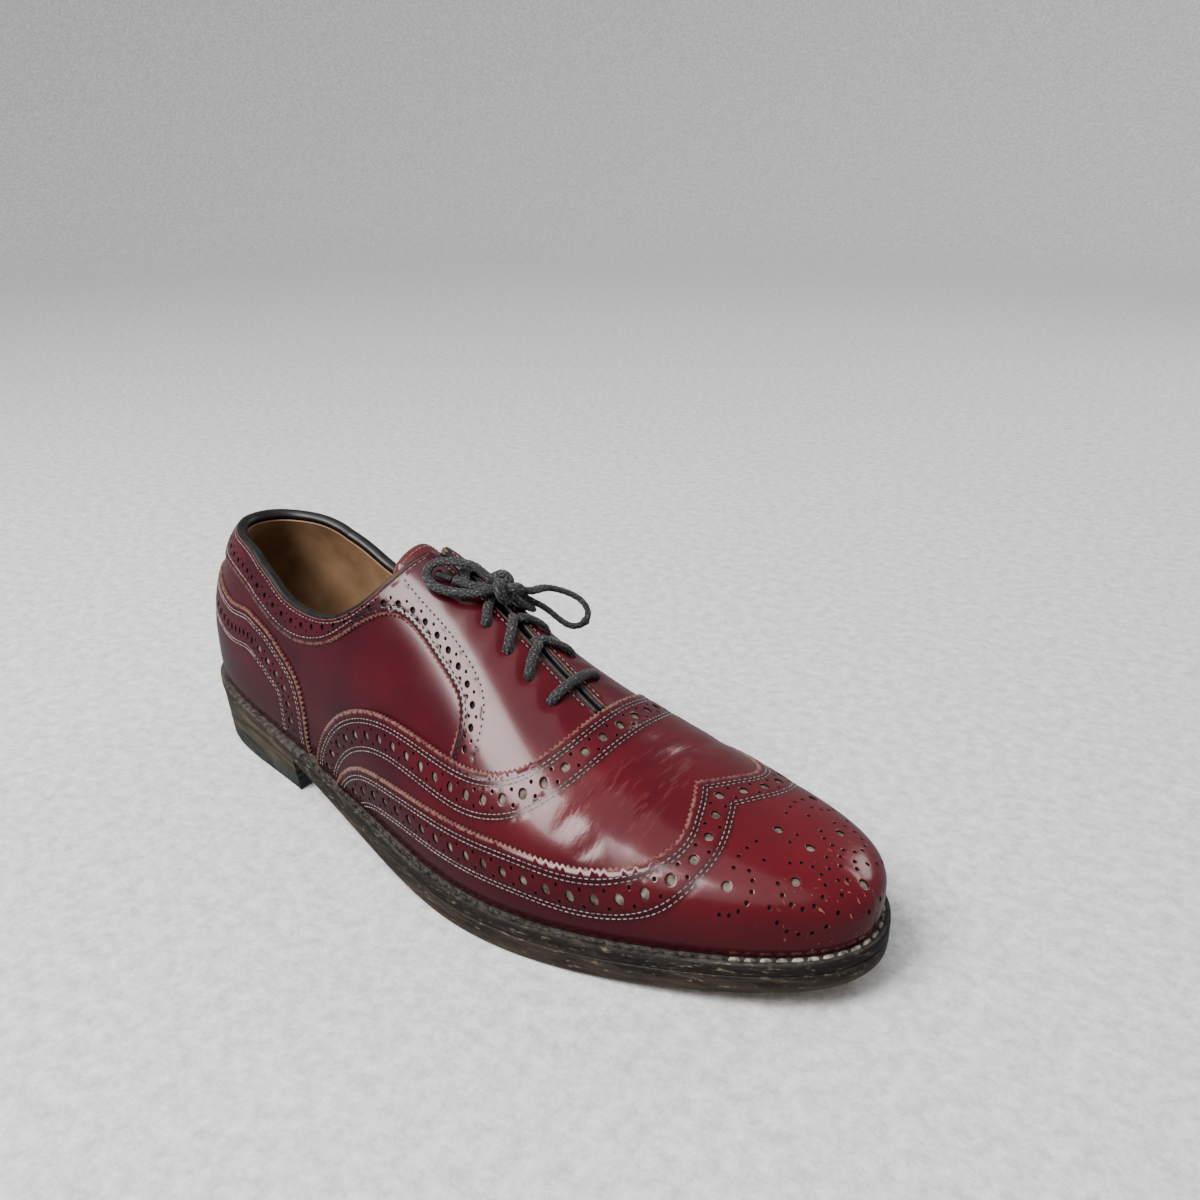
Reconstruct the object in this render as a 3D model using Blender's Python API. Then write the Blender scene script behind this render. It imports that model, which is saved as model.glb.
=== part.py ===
"""Right wingtip oxford shoe, built as its separate pieces.

Working units are millimetres until a mesh is made. x runs from the heel back (0) to the toe,
-y is the lateral (outer) side, +y the medial side and z is up from the ground.

The upper's pieces are cut from a flat pattern. A pattern point (p, q) has p along the ridge of the
last and q out from the ridge, along the skin: negative on the lateral side, positive on the medial.
Behind HEEL_X and in front of TOE_X the pattern fans out round the ends of the ridge.
"""
import math

import bpy
import numpy as np
from mathutils import Vector
from mathutils.geometry import delaunay_2d_cdt

MM = 0.001

# ---------------------------------------------------------------- driving dimensions (mm)
SOLE_LENGTH = 304.5
# plan of the outsole: lateral edge from heel to toe, then the medial edge back again
LATERAL_EDGE = [(0, -1), (4, -15), (20, -26), (50, -32.5), (85, -38), (125, -46.5), (165, -54),
                (200, -54.5), (232, -47.5), (262, -37), (285, -25.5), (299, -13), (SOLE_LENGTH, 2)]
MEDIAL_EDGE = [(300, 18.5), (288, 31), (265, 42), (238, 49.5), (210, 51), (180, 44), (145, 32),
               (110, 27), (80, 29.5), (50, 32.5), (20, 28), (4, 15)]
# profiles along x: (x, value)
SOLE_BOTTOM = [(0, 24.0), (40, 19.5), (76, 14.5), (100, 10.6), (125, 7.2), (150, 3.6), (175, 0.6),
               (198, 0), (225, 0.6), (250, 2.8), (275, 5.8), (305, 9.3)]
OUTSOLE_THICK = [(0, 4.0), (76, 4.2), (104, 5.2), (130, 6.2), (305, 6.2)]
EDGE_THICK = [(0, 5.6), (76, 6.0), (104, 8.0), (130, 10.0), (305, 10.2)]
WELT_WIDTH = [(0, 2.6), (70, 3.0), (105, 4.6), (140, 5.6), (200, 6.0), (300, 6.0)]
# the last: ridge, widest line and fullness
HEEL_X, TOE_X = 52.0, 258.0
RIDGE_Z = [(52, 112), (90, 112), (115, 108.5), (135, 102.3), (160, 90), (185, 74.5), (205, 63),
           (232, 51), (248, 46.3), (258, 44)]
RIDGE_Y = [(52, 1), (135, -0.5), (185, -1.5), (232, -1), (258, 0.5)]
WIDEST_RISE = [(3, 19), (30, 18), (75, 18), (110, 17), (150, 14), (200, 13), (250, 12), (300, 11)]
OVERHANG = {-1: [(3, 1.6), (30, 1.2), (75, 1.0), (110, 0.5), (150, 1.0), (200, 2.5), (250, 2.2),
                 (300, 2.0)],
            1: [(3, 1.6), (30, 1.8), (75, 3.5), (110, 5.0), (150, 3.0), (200, 0.5), (250, 0.8),
                (300, 1.6)]}
FULLNESS_TOP = [(3, .60), (60, .70), (100, .74), (130, .60), (160, .5), (200, .52), (240, .56),
                (300, .58)]
FULLNESS_SIDE = [(3, .44), (60, .48), (100, .50), (130, .42), (160, .38), (200, .46), (240, .56),
                 (300, .62)]
# layers of the upper: (inner, outer) distance from the last's skin
LINING = (-7.3, -6.5)
STIFFENER = (-5.1, -4.2)
BASE = (-3.3, -2.2)
OVERLAY = (-1.2, -0.3)
CAP = (0.9, 1.9)
TONGUE = (-9.2, -7.8)
GAP = 0.35
# the flex of the shoe at the ball of the foot
FLEX_X, FLEX_Z = 207.0, 13.6
FLEX_LEAN = math.tan(math.radians(32.0))      # room for the forefoot to bend up by 30 degrees
HEEL_BREAST_X = 76.0
TOP_LIFT_THICK = 5.5
HEEL_TAPER = 0.93
LACE_RADIUS = 1.5

# ---------------------------------------------------------------- pattern lines on the lateral half
TOPLINE = [(-37.5, 0), (-36.3, 9), (-31, 18.5), (-18.5, 27.5), (-4.5, 34.5), (9, 41), (19, 46.3), (32.5, 49.3),
           (46.8, 48), (57, 42.8), (64.7, 35), (70.3, 26), (74.6, 15), (77, 5.5)]
BAND_EDGE = [(-50, 0), (-48, 14), (-41, 26), (-30, 35.5), (-18, 43), (0, 51), (12.6, 57.3), (25.4, 61),
             (36.3, 60.6), (52.2, 54.2), (62, 45.5), (70.5, 37), (77, 32), (83, 30), (91, 30), (101, 31.8),
             (111.6, 33.8), (118.5, 36), (122.5, 41), (123.6, 49)]
COUNTER_EDGE = [(-61, 0), (-57, 18), (-47, 36), (-33, 48.3), (-9.2, 55.6), (9, 61.4), (20.3, 69),
                (28.2, 76), (31.9, 84), (33, 93.5), (32.8, 99)]
VAMP_EDGE = [(42, 104), (49, 91), (62, 77), (76, 67.6), (89, 62), (105.4, 57.3), (121, 53.3), (133, 49.6),
             (145, 43.6), (153, 36.7), (158.5, 27), (161.5, 14), (162.3, 0)]
WING_EDGE = [(57, 107), (65.5, 97), (76, 89.4), (89, 83.5), (106, 77), (128, 69.2), (147, 62.2),
             (164, 55.8), (178.5, 50.5), (191, 44.5), (200, 37.4), (205.8, 30.5), (207.8, 22.5),
             (205.3, 13.5), (198.8, 0)]
SLIT_HALF, SLIT_START, SLIT_END = 2.6, 77.0, 161.0
LAP = 7.0                                     # how far a piece runs on under the one over it


# ---------------------------------------------------------------- curves and tables
def spline(knots, values, at):
    """Natural cubic spline through values at the knots."""
    x = np.asarray(knots, float)
    y = np.asarray(values, float).reshape(len(x), -1)
    count, h = len(x), np.diff(x)
    lhs, rhs = np.eye(count), np.zeros_like(y)
    for i in range(1, count - 1):
        lhs[i, i - 1:i + 2] = h[i - 1], 2 * (h[i - 1] + h[i]), h[i]
        rhs[i] = 6 * ((y[i + 1] - y[i]) / h[i] - (y[i] - y[i - 1]) / h[i - 1])
    m = np.linalg.solve(lhs, rhs)
    at = np.asarray(at, float)
    k = np.clip(np.searchsorted(x, at) - 1, 0, count - 2)
    w, t = h[k][..., None], (at - x[k])[..., None]
    out = (y[k] + t * ((y[k + 1] - y[k]) / w - w * (2 * m[k] + m[k + 1]) / 6)
           + t ** 2 * m[k] / 2 + t ** 3 * (m[k + 1] - m[k]) / (6 * w))
    return out[..., 0] if np.ndim(values[0]) == 0 else out


def profile(pairs, x):
    knots, values = zip(*pairs)
    return spline(knots, values, np.clip(x, knots[0], knots[-1]))


def through(points, spacing):
    """Smooth open curve through points, read about every `spacing`."""
    pts = np.array(points, float)
    run = np.r_[0, np.cumsum(np.linalg.norm(np.diff(pts, axis=0), axis=1))]
    count = max(2, int(round(run[-1] / spacing)) + 1)
    return spline(run, pts, np.linspace(0, run[-1], count))


def straight(points, spacing):
    """Straight runs between points, divided about every `spacing`."""
    out = []
    for a, b in zip(np.array(points[:-1], float), np.array(points[1:], float)):
        count = max(1, int(round(np.linalg.norm(b - a) / spacing)))
        out += [a + (b - a) * i / count for i in range(count)]
    return np.array(out + [points[-1]], float)


def smooth_loop(points, count):
    pts = np.array(points, float)
    wrapped = np.vstack([pts[-4:], pts, pts[:4]])
    run = np.r_[0, np.cumsum(np.linalg.norm(np.diff(wrapped, axis=0), axis=1) ** 0.5)]
    return spline(run, wrapped, np.linspace(run[4], run[4 + len(pts)], count, endpoint=False))


def inset(outline, distance):
    """Move a counter-clockwise outline inwards."""
    tangent = np.roll(outline, -1, 0) - np.roll(outline, 1, 0)
    inward = np.c_[-tangent[:, 1], tangent[:, 0]] / np.linalg.norm(tangent, axis=1)[:, None]
    return outline + inward * np.reshape(distance, (-1, 1))


def clip_x(polygon, limit, keep_above):
    """Part of a plan polygon on one side of the line x = limit."""
    sign = 1 if keep_above else -1
    out = []
    for a, b in zip(polygon, np.roll(polygon, -1, 0)):
        da, db = sign * (a[0] - limit), sign * (b[0] - limit)
        if da >= 0:
            out.append(a)
        if da * db < 0:
            out.append(a + (b - a) * da / (da - db))
    return np.array(out)


def thin_out(polygon, spacing):
    """Drop points of a closed polygon that lie closer than spacing."""
    kept = [polygon[0]]
    for point in polygon[1:]:
        if np.linalg.norm(point - kept[-1]) >= spacing:
            kept.append(point)
    if np.linalg.norm(kept[-1] - kept[0]) < 0.5 * spacing:
        kept.pop()
    return np.array(kept)


OUTLINE = smooth_loop(LATERAL_EDGE + MEDIAL_EDGE, 720)
FEATHER = inset(OUTLINE, profile(WELT_WIDTH, OUTLINE[:, 0]))


def sole_bottom(x):
    return profile(SOLE_BOTTOM, x)


def sole_top(x):
    return sole_bottom(x) + profile(OUTSOLE_THICK, x)


def feather_z(x):
    return sole_bottom(x) + profile(EDGE_THICK, x)


# ---------------------------------------------------------------- the last
class Last:
    """Skin of the last as ribs from the ridge to the feather line, and its flat pattern."""
    RIBS, FAN, STEPS, SAMPLES = 181, 60, 60, 121

    def __init__(self):
        x = np.linspace(HEEL_X, TOE_X, self.RIBS)
        self.ridge = np.c_[x, profile(RIDGE_Y, x), profile(RIDGE_Z, x)]
        self.ridge_p = np.r_[0, np.cumsum(np.linalg.norm(np.diff(self.ridge, axis=0), axis=1))]
        self.toe_p = self.ridge_p[-1]
        self.toe_slope = (self.ridge[-1, 2] - self.ridge[-2, 2]) / (x[1] - x[0])
        self.sides = {side: self.build_side(side) for side in (-1, 1)}

    def fan(self, centre, start, side, angles):
        """Ribs round one end of the ridge, which meet the feather line at the given angles."""
        rel = FEATHER - centre[:2]
        bearing = np.arctan2(rel[:, 1] * side, rel[:, 0])
        order = np.argsort(bearing)
        reach = np.interp(angles, bearing[order], np.linalg.norm(rel, axis=1)[order], period=2 * math.pi)
        foot = centre[:2] + np.c_[reach * np.cos(angles), side * reach * np.sin(angles)]
        return foot, np.repeat(centre[None], len(angles), 0), angles, np.full(len(angles), start)

    def build_side(self, side):
        edge = FEATHER[FEATHER[:, 1] * side > 0]
        edge = edge[np.argsort(edge[:, 0])]
        x = self.ridge[:, 0]
        middle = (np.c_[x, np.interp(x, edge[:, 0], edge[:, 1])], self.ridge,
                  np.full(self.RIBS, math.pi / 2), self.ridge_p)
        heel = self.fan(self.ridge[0], 0.0, side, np.linspace(math.pi, math.pi / 2, self.FAN)[:-1])
        toe = self.fan(self.ridge[-1], self.toe_p, side, np.linspace(math.pi / 2, 0, self.FAN)[1:])
        foot, root, angle, start = [np.concatenate(parts) for parts in zip(heel, middle, toe)]
        ribs = self.rib_curves(foot, root, angle, side)
        step = np.linalg.norm(np.diff(ribs, axis=1), axis=2)
        run = np.concatenate([np.zeros((len(ribs), 1)), np.cumsum(step, axis=1)], axis=1)
        even = np.empty((len(ribs), self.SAMPLES, 3))
        for i, rib in enumerate(ribs):
            at = np.linspace(0, run[i, -1], self.SAMPLES)
            for axis in range(3):
                even[i, :, axis] = np.interp(at, run[i], rib[:, axis])
        return {"ribs": even, "length": run[:, -1], "angle": angle, "start": start}

    def rib_curves(self, foot, root, angle, side):
        plan = foot - root[:, :2]
        reach = np.linalg.norm(plan, axis=1)
        out = plan / reach[:, None]
        x = foot[:, 0]
        low = feather_z(x)
        wide_z = low + profile(WIDEST_RISE, x)
        over = profile(OVERHANG[side], x)
        wide = reach + over
        slope = self.toe_slope * np.cos(angle) * (angle < math.pi / 2)
        top_pull, side_pull = profile(FULLNESS_TOP, x), profile(FULLNESS_SIDE, x)

        def at(distance, z):
            return np.c_[root[:, :2] + out * distance[:, None], z]
        upper = (root, at(top_pull * wide, root[:, 2] + slope * top_pull * wide),
                 at(wide, wide_z + side_pull * (root[:, 2] - wide_z)), at(wide, wide_z))
        lower = (upper[3], at(wide, wide_z - 0.55 * (wide_z - low)),
                 at(reach + 0.6 * over + 0.8, low + 0.35 * (wide_z - low)), at(reach, low))
        t = np.linspace(0, 1, self.STEPS)[:, None, None]
        arcs = [(1 - t) ** 3 * a + 3 * (1 - t) ** 2 * t * b + 3 * (1 - t) * t * t * c + t ** 3 * d
                for a, b, c, d in (upper, lower)]
        return np.concatenate([arcs[0], arcs[1][1:]]).transpose(1, 0, 2)

    def point(self, pattern):
        """Skin point for each pattern point (p, q)."""
        pattern = np.asarray(pattern, float).reshape(-1, 2)
        result = np.empty((len(pattern), 3))
        for side, data in self.sides.items():
            mine = (pattern[:, 1] < 0) if side < 0 else (pattern[:, 1] >= 0)
            p, q = pattern[mine, 0], np.abs(pattern[mine, 1])
            base = np.clip(p, 0.0, self.toe_p)
            bearing = np.arctan2(q, p - base)
            bearing[(p >= 0) & (p <= self.toe_p)] = math.pi / 2
            heel = np.interp(-bearing, -data["angle"][:self.FAN], np.arange(self.FAN))
            toe_first = self.FAN + self.RIBS - 2
            toe = np.interp(-bearing, -data["angle"][toe_first:], np.arange(toe_first, len(data["angle"])))
            middle = np.interp(p, self.ridge_p, np.arange(self.FAN - 1, self.FAN - 1 + self.RIBS))
            rib = np.where(p < 0, heel, np.where(p > self.toe_p, toe, middle))
            length = np.interp(rib, np.arange(len(data["length"])), data["length"])
            along = np.hypot(q, p - base) / length * (self.SAMPLES - 1)
            i = np.clip(rib.astype(int), 0, len(data["length"]) - 2)
            j = np.clip(along.astype(int), 0, self.SAMPLES - 2)
            u, v = (rib - i)[:, None], (along - j)[:, None]
            g = data["ribs"]
            result[mine] = ((g[i, j] * (1 - u) + g[i + 1, j] * u) * (1 - v)
                            + (g[i, j + 1] * (1 - u) + g[i + 1, j + 1] * u) * v)
        return result

    def frame(self, pattern):
        """Skin point and outward normal."""
        pattern = np.asarray(pattern, float).reshape(-1, 2)
        step = 1.0
        along = self.point(pattern + (step, 0)) - self.point(pattern - (step, 0))
        across = self.point(pattern + (0, step)) - self.point(pattern - (0, step))
        normal = np.cross(along, across)
        normal /= np.linalg.norm(normal, axis=1)[:, None]
        return self.point(pattern), normal

    def lift(self, pattern, distance):
        point, normal = self.frame(pattern)
        return point + normal * distance

    def feather_run(self, side, p_from, p_to, trim, spacing=6.0):
        """Pattern points along the feather line, trimmed back from it."""
        data = self.sides[side]
        reach = data["length"] - trim
        p = data["start"] + np.cos(data["angle"]) * reach
        q = np.sin(data["angle"]) * reach * side
        run = np.r_[0, np.cumsum(np.hypot(np.diff(p), np.diff(q)))]
        ends = np.interp([p_from, p_to], p, run)
        count = max(2, int(abs(ends[1] - ends[0]) / spacing) + 1)
        at = np.linspace(ends[0], ends[1], count)
        return np.c_[np.interp(at, run, p), np.interp(at, run, q)]

    def cut_run(self, lean, shift, q_values):
        """Pattern points where the skin meets the plane through the flex line, leaning forwards."""
        out = []
        for q in q_values:
            p = np.linspace(120, 275, 156)
            x, _, z = self.point(np.c_[p, np.full(len(p), q)]).T
            past = x - FLEX_X - shift - (z - FLEX_Z) * lean
            out.append((np.interp(0, past, p), q))
        return np.array(out)


LAST = Last()


# ---------------------------------------------------------------- objects
def material(name, colour, roughness, metallic=0.0):
    mat = bpy.data.materials.new(name)
    mat.use_nodes = True
    shader = mat.node_tree.nodes["Principled BSDF"]
    shader.inputs["Base Color"].default_value = (*colour, 1)
    shader.inputs["Roughness"].default_value = roughness
    shader.inputs["Metallic"].default_value = metallic
    return mat


def make(name, points, faces, mat, smooth=True):
    """One object from points in millimetres."""
    mesh = bpy.data.meshes.new(name)
    mesh.from_pydata([tuple(float(c) * MM for c in p) for p in points], [], faces)
    if smooth:
        mesh.shade_smooth()
        mesh.set_sharp_from_angle(angle=math.radians(40))
    mesh.materials.append(mat)
    obj = bpy.data.objects.new(name, mesh)
    bpy.context.collection.objects.link(obj)
    return obj


def triangulate(outline, holes=(), spacing=9.0):
    """Flat triangles inside an outline with holes, and the edges of each boundary."""
    rings = [np.asarray(outline, float)] + [np.asarray(h, float) for h in holes]
    points, edges = [], []
    for ring in rings:
        first = len(points)
        points += [Vector(p) for p in ring]
        edges += [(first + i, first + (i + 1) % len(ring)) for i in range(len(ring))]
    boundary = np.array([tuple(p) for p in points])
    low, high = rings[0].min(0), rings[0].max(0)
    for i, u in enumerate(np.arange(math.ceil(low[0] / spacing), high[0] / spacing)):
        for v in np.arange(math.floor(low[1] / spacing), high[1] / spacing):
            spot = np.array([u, v + 0.5 * (int(round(u)) % 2)]) * spacing
            near = np.linalg.norm(boundary - spot, axis=1).min() < 0.55 * spacing
            if not near and inside(spot, rings[0]) and not any(inside(spot, h) for h in rings[1:]):
                points.append(Vector(spot))
    verts, _, faces, _, _, _ = delaunay_2d_cdt(points, edges, [], 1, 1e-6)
    verts = np.array([tuple(v) for v in verts])
    kept = []
    for face in faces:
        middle = verts[list(face)].mean(0)
        if inside(middle, rings[0]) and not any(inside(middle, h) for h in rings[1:]):
            a, b, c = (verts[k] for k in face)
            turn = (b[0] - a[0]) * (c[1] - a[1]) - (b[1] - a[1]) * (c[0] - a[0])
            kept.append(tuple(face) if turn > 0 else tuple(reversed(face)))
    return verts, kept


def inside(point, ring):
    x, y = point
    x0, y0 = ring[:, 0], ring[:, 1]
    x1, y1 = np.roll(x0, -1), np.roll(y0, -1)
    crosses = (y0 > y) != (y1 > y)
    with np.errstate(divide="ignore", invalid="ignore"):
        at = x0 + (y - y0) * (x1 - x0) / (y1 - y0)
    return bool(np.sum(crosses & (x < at)) % 2)


def closed_faces(faces, count):
    """Top faces, the same faces underneath, and walls along every boundary edge."""
    edges = {}
    for face in faces:
        for a, b in zip(face, face[1:] + face[:1]):
            edges[(a, b)] = True
    walls = [(a, a + count, b + count, b) for a, b in edges if (b, a) not in edges]
    return ([tuple(f) for f in faces] + [tuple(k + count for k in reversed(f)) for f in faces] + walls)


def plate(name, outline, low, high, mat, holes=(), spacing=14.0):
    """Flat piece whose underside and top follow functions of x (or constants)."""
    verts, faces = triangulate(outline, holes, spacing)
    x = verts[:, 0]
    top = high(x) if callable(high) else np.full(len(x), high)
    bottom = low(x) if callable(low) else np.full(len(x), low)
    points = np.vstack([np.c_[verts, top], np.c_[verts, bottom]])
    return make(name, points, closed_faces(faces, len(verts)), mat)


def panel(name, outline, layer, mat, spacing=8.0):
    """Piece of the upper cut from the pattern and laid on the last."""
    verts, faces = triangulate(outline, (), spacing)
    point, normal = LAST.frame(verts)
    inner, outer = layer
    points = np.vstack([point + normal * outer, point + normal * inner])
    return make(name, points, closed_faces(faces, len(verts)), mat)


def tube(name, path, radius, mat, sides=8):
    """Round cord along a path in millimetres, with flat ends."""
    path = np.asarray(path, float)
    tangent = np.gradient(path, axis=0)
    tangent /= np.linalg.norm(tangent, axis=1)[:, None]
    side = np.cross(tangent[0], (0.0, 0.0, 1.0))
    turn = np.linspace(0, 2 * math.pi, sides, endpoint=False)
    rings = []
    for spot, along in zip(path, tangent):
        side = side - along * np.dot(side, along)
        side /= np.linalg.norm(side)
        up = np.cross(along, side)
        rings.append(spot + radius * (np.outer(np.cos(turn), side) + np.outer(np.sin(turn), up)))
    points = np.vstack(rings)
    faces = []
    for i in range(len(path) - 1):
        for k in range(sides):
            a, b = i * sides + k, i * sides + (k + 1) % sides
            faces.append((a, b, b + sides, a + sides))
    faces.append(tuple(reversed(range(sides))))
    faces.append(tuple(range(len(points) - sides, len(points))))
    return make(name, points, faces, mat)


def circle(centre, radius, sides=8):
    turn = np.linspace(0, 2 * math.pi, sides, endpoint=False)
    return np.c_[centre[0] + radius * np.cos(turn), centre[1] + radius * np.sin(turn)]


def half(points, side):
    """Lateral pattern line put on one side."""
    return np.array([(p, q * side) for p, q in points], float)


def push(line, distance):
    """Pattern line moved sideways, to its left, keeping its points."""
    line = np.asarray(line, float)
    tangent = np.gradient(line, axis=0)
    left = np.c_[-tangent[:, 1], tangent[:, 0]] / np.linalg.norm(tangent, axis=1)[:, None]
    return line + left * distance


# ---------------------------------------------------------------- sole and heel
def build_sole(mats):
    ground = thin_out(OUTLINE, 7.0)
    parts = {"outsole_rear": clip_x(ground, FLEX_X - GAP / 2, False),
             "outsole_forepart": clip_x(ground, FLEX_X + GAP / 2, True)}
    for name, plan in parts.items():
        plate(name, plan, sole_bottom, sole_top, mats["sole"])
    build_welt(mats)
    build_insole(mats)
    build_heel(mats)


def edge_strip(name, indices, mat):
    """Strip between the edge of the sole and the foot of the upper, on top of the outsole."""
    step = 6
    outer = OUTLINE[indices][::step]
    inner = inset(OUTLINE, profile(WELT_WIDTH, OUTLINE[:, 0]) + 2.0)[indices][::step]
    low = [sole_top(p[0]) + GAP for p in outer], [sole_top(p[0]) + GAP for p in inner]
    high = [feather_z(p[0]) - GAP for p in outer], [feather_z(p[0]) - GAP for p in inner]
    rows = [np.c_[outer, high[0]], np.c_[outer, low[0]], np.c_[inner, low[1]], np.c_[inner, high[1]]]
    count = len(outer)
    points = np.vstack(rows)
    faces = []
    for i in range(count - 1):
        for k in range(4):
            a, b = k * count, ((k + 1) % 4) * count
            faces.append((a + i + 1, a + i, b + i, b + i + 1))
    faces.append((0, 3 * count, 2 * count, count))
    last = count - 1
    faces.append((last, last + count, last + 2 * count, last + 3 * count))
    return make(name, points, faces, mat, smooth=False)


def build_welt(mats):
    x, y = OUTLINE[:, 0], OUTLINE[:, 1]
    index = np.arange(len(OUTLINE))
    lateral, medial = index[y < 0], index[y >= 0]
    waist = HEEL_BREAST_X + 8.0
    front = index[x > FLEX_X + 1.0]
    edge_strip("welt_forepart", front, mats["welt"])
    edge_strip("welt_lateral", lateral[(x[lateral] > waist) & (x[lateral] < FLEX_X - 1.0)], mats["welt"])
    edge_strip("welt_medial", medial[(x[medial] > waist) & (x[medial] < FLEX_X - 1.0)], mats["welt"])
    wrapped = np.r_[index[len(index) // 2:], index[:len(index) // 2]]
    edge_strip("heel_rand", wrapped[x[wrapped] < waist - 1.5], mats["welt"])


def build_insole(mats):
    plan = thin_out(inset(OUTLINE, profile(WELT_WIDTH, OUTLINE[:, 0]) + 7.6), 7.0)

    def top(x):
        return feather_z(x) + 1.2

    def underside(x):
        return feather_z(x) - 1.0
    plate("insole_rear", clip_x(plan, FLEX_X - GAP / 2, False), underside, top, mats["insole"])
    plate("insole_forepart", clip_x(plan, FLEX_X + GAP / 2, True), underside, top, mats["insole"])
    sock = clip_x(inset(plan, 1.2), 104.0, False)
    plate("heel_sock", sock, lambda x: top(x) + GAP, lambda x: top(x) + 1.3, mats["sock"])
    filler = inset(plan, 3.0)
    plate("cork_filler", clip_x(filler, FLEX_X + 3.0, True), lambda x: sole_top(x) + GAP,
          lambda x: underside(x) - GAP, mats["cork"])
    bar = np.vstack([through([(56, -6), (168, -7.5)], 10.0), through([(168, 4.5), (56, 6)], 10.0)])
    plate("shank", bar, lambda x: sole_top(x) + GAP / 2,
          lambda x: np.minimum(underside(x) - 0.15, sole_top(x) + 1.2), mats["steel"])


def heel_plan(z, x_limit):
    """Heel outline at a height: the stack tapers towards the ground."""
    plan = clip_x(thin_out(OUTLINE, 6.0), x_limit, False)
    taper = HEEL_TAPER + (1 - HEEL_TAPER) * z / sole_bottom(0)
    scaled = np.c_[x_limit + (plan[:, 0] - x_limit) * (taper + 0.5 * (1 - taper)), plan[:, 1] * taper]
    return scaled


def build_heel(mats):
    nails = [(14.0, -1.0), (30.0, -17.0), (30.0, 17.0), (58.0, -20.0), (58.0, 20.0)]
    holes = [circle(n, 1.9) for n in nails]
    plan = heel_plan(0.0, HEEL_BREAST_X)
    plate("top_lift", plan, 0.0, TOP_LIFT_THICK, mats["rubber"], holes)
    for number, nail in enumerate(nails, 1):
        plate(f"heel_nail_{number}", circle(nail, 1.5), 0.2, TOP_LIFT_THICK - 0.2, mats["brass"])
    lifts = 3
    for k in range(lifts):
        def height(x, part):
            return (TOP_LIFT_THICK + GAP) * (1 - part) + (sole_bottom(x) - GAP) * part
        low, high = k / lifts, (k + 1) / lifts
        middle = TOP_LIFT_THICK + (sole_bottom(40.0) - TOP_LIFT_THICK) * (low + high) / 2
        plate(f"heel_lift_{k + 1}", heel_plan(middle, HEEL_BREAST_X),
              lambda x, part=low: height(x, part) + (GAP / 2 if part else 0),
              lambda x, part=high: height(x, part) - (GAP / 2 if part < 1 else 0), mats["heel"])


# ---------------------------------------------------------------- upper
def build_upper(mats):
    for side, name in ((-1, "lateral"), (1, "medial")):
        build_quarter(side, name, mats)
        build_wing(side, name, mats)
    build_counter(mats)
    build_vamp(mats)
    build_toe(mats)
    build_tongue(mats)
    build_binding(mats)


def above_feather(line, side, trim):
    """Keep the points of a line that lie above the trimmed feather line."""
    low = LAST.feather_run(side, -200, 400, trim, 2.0)
    return line[np.abs(line[:, 1]) < np.abs(np.interp(line[:, 0], low[:, 0], low[:, 1]))]


def oriented(outline):
    """Counter-clockwise outline without doubled points."""
    ring = [outline[0]]
    for p in outline[1:]:
        if np.linalg.norm(p - ring[-1]) > 0.8:
            ring.append(p)
    if np.linalg.norm(ring[-1] - ring[0]) < 0.8:
        ring.pop()
    ring = np.array(ring)
    area = np.sum(ring[:, 0] * np.roll(ring[:, 1], -1) - np.roll(ring[:, 0], -1) * ring[:, 1])
    return ring if area > 0 else ring[::-1]


def build_quarter(side, name, mats):
    seam = 0.3
    topline = through(half(TOPLINE, side), 7.0)
    topline[0] = (TOPLINE[0][0], seam * side)
    slit = through([(SLIT_START, SLIT_HALF * side), (SLIT_END + LAP, SLIT_HALF * side)], 8.0)
    under_vamp = through(half(VAMP_EDGE, side), 8.0)[::-1]
    under_vamp = push(under_vamp, -LAP * side)
    under_vamp = under_vamp[np.abs(under_vamp[:, 1]) > SLIT_HALF + 1.0]
    under_vamp = above_feather(under_vamp, side, 4.0)
    foot_start = under_vamp[-1, 0] - 2
    foot = LAST.feather_run(side, foot_start, -200, 1.5)
    back = LAST.feather_run(side, -200, -199, 1.5)[0]
    seam_line = through([(back[0], seam * side), (TOPLINE[0][0] - 5, seam * side)], 7.0)
    outline = oriented(np.vstack([topline, slit, under_vamp, foot[:-1], seam_line]))
    panel(f"quarter_{name}", outline, BASE, mats["leather"])
    lining_front = above_feather(push(through(half(VAMP_EDGE, side), 8.0)[::-1], 0.6 * side), side, 4.0)
    lining_front = lining_front[np.abs(lining_front[:, 1]) > SLIT_HALF + 1.0]
    foot = LAST.feather_run(side, lining_front[-1, 0] - 2, -200, 1.5)
    outline = oriented(np.vstack([topline, slit[slit[:, 0] < 160], lining_front, foot[:-1], seam_line]))
    panel(f"quarter_lining_{name}", outline, LINING, mats["lining"])
    band = through(half(BAND_EDGE, side), 7.0)[::-1]
    band[-1] = (BAND_EDGE[0][0], seam * side)
    vamp_side = push(through(half(VAMP_EDGE, side), 7.0)[::-1], 1.0 * side)
    vamp_side = vamp_side[(vamp_side[:, 0] > 125) & (np.abs(vamp_side[:, 1]) > SLIT_HALF + 1.5)]
    outline = oriented(np.vstack([topline, slit[slit[:, 0] < 159], vamp_side, band]))
    panel(f"facing_band_{name}", outline, OVERLAY, mats["leather"])


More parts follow.
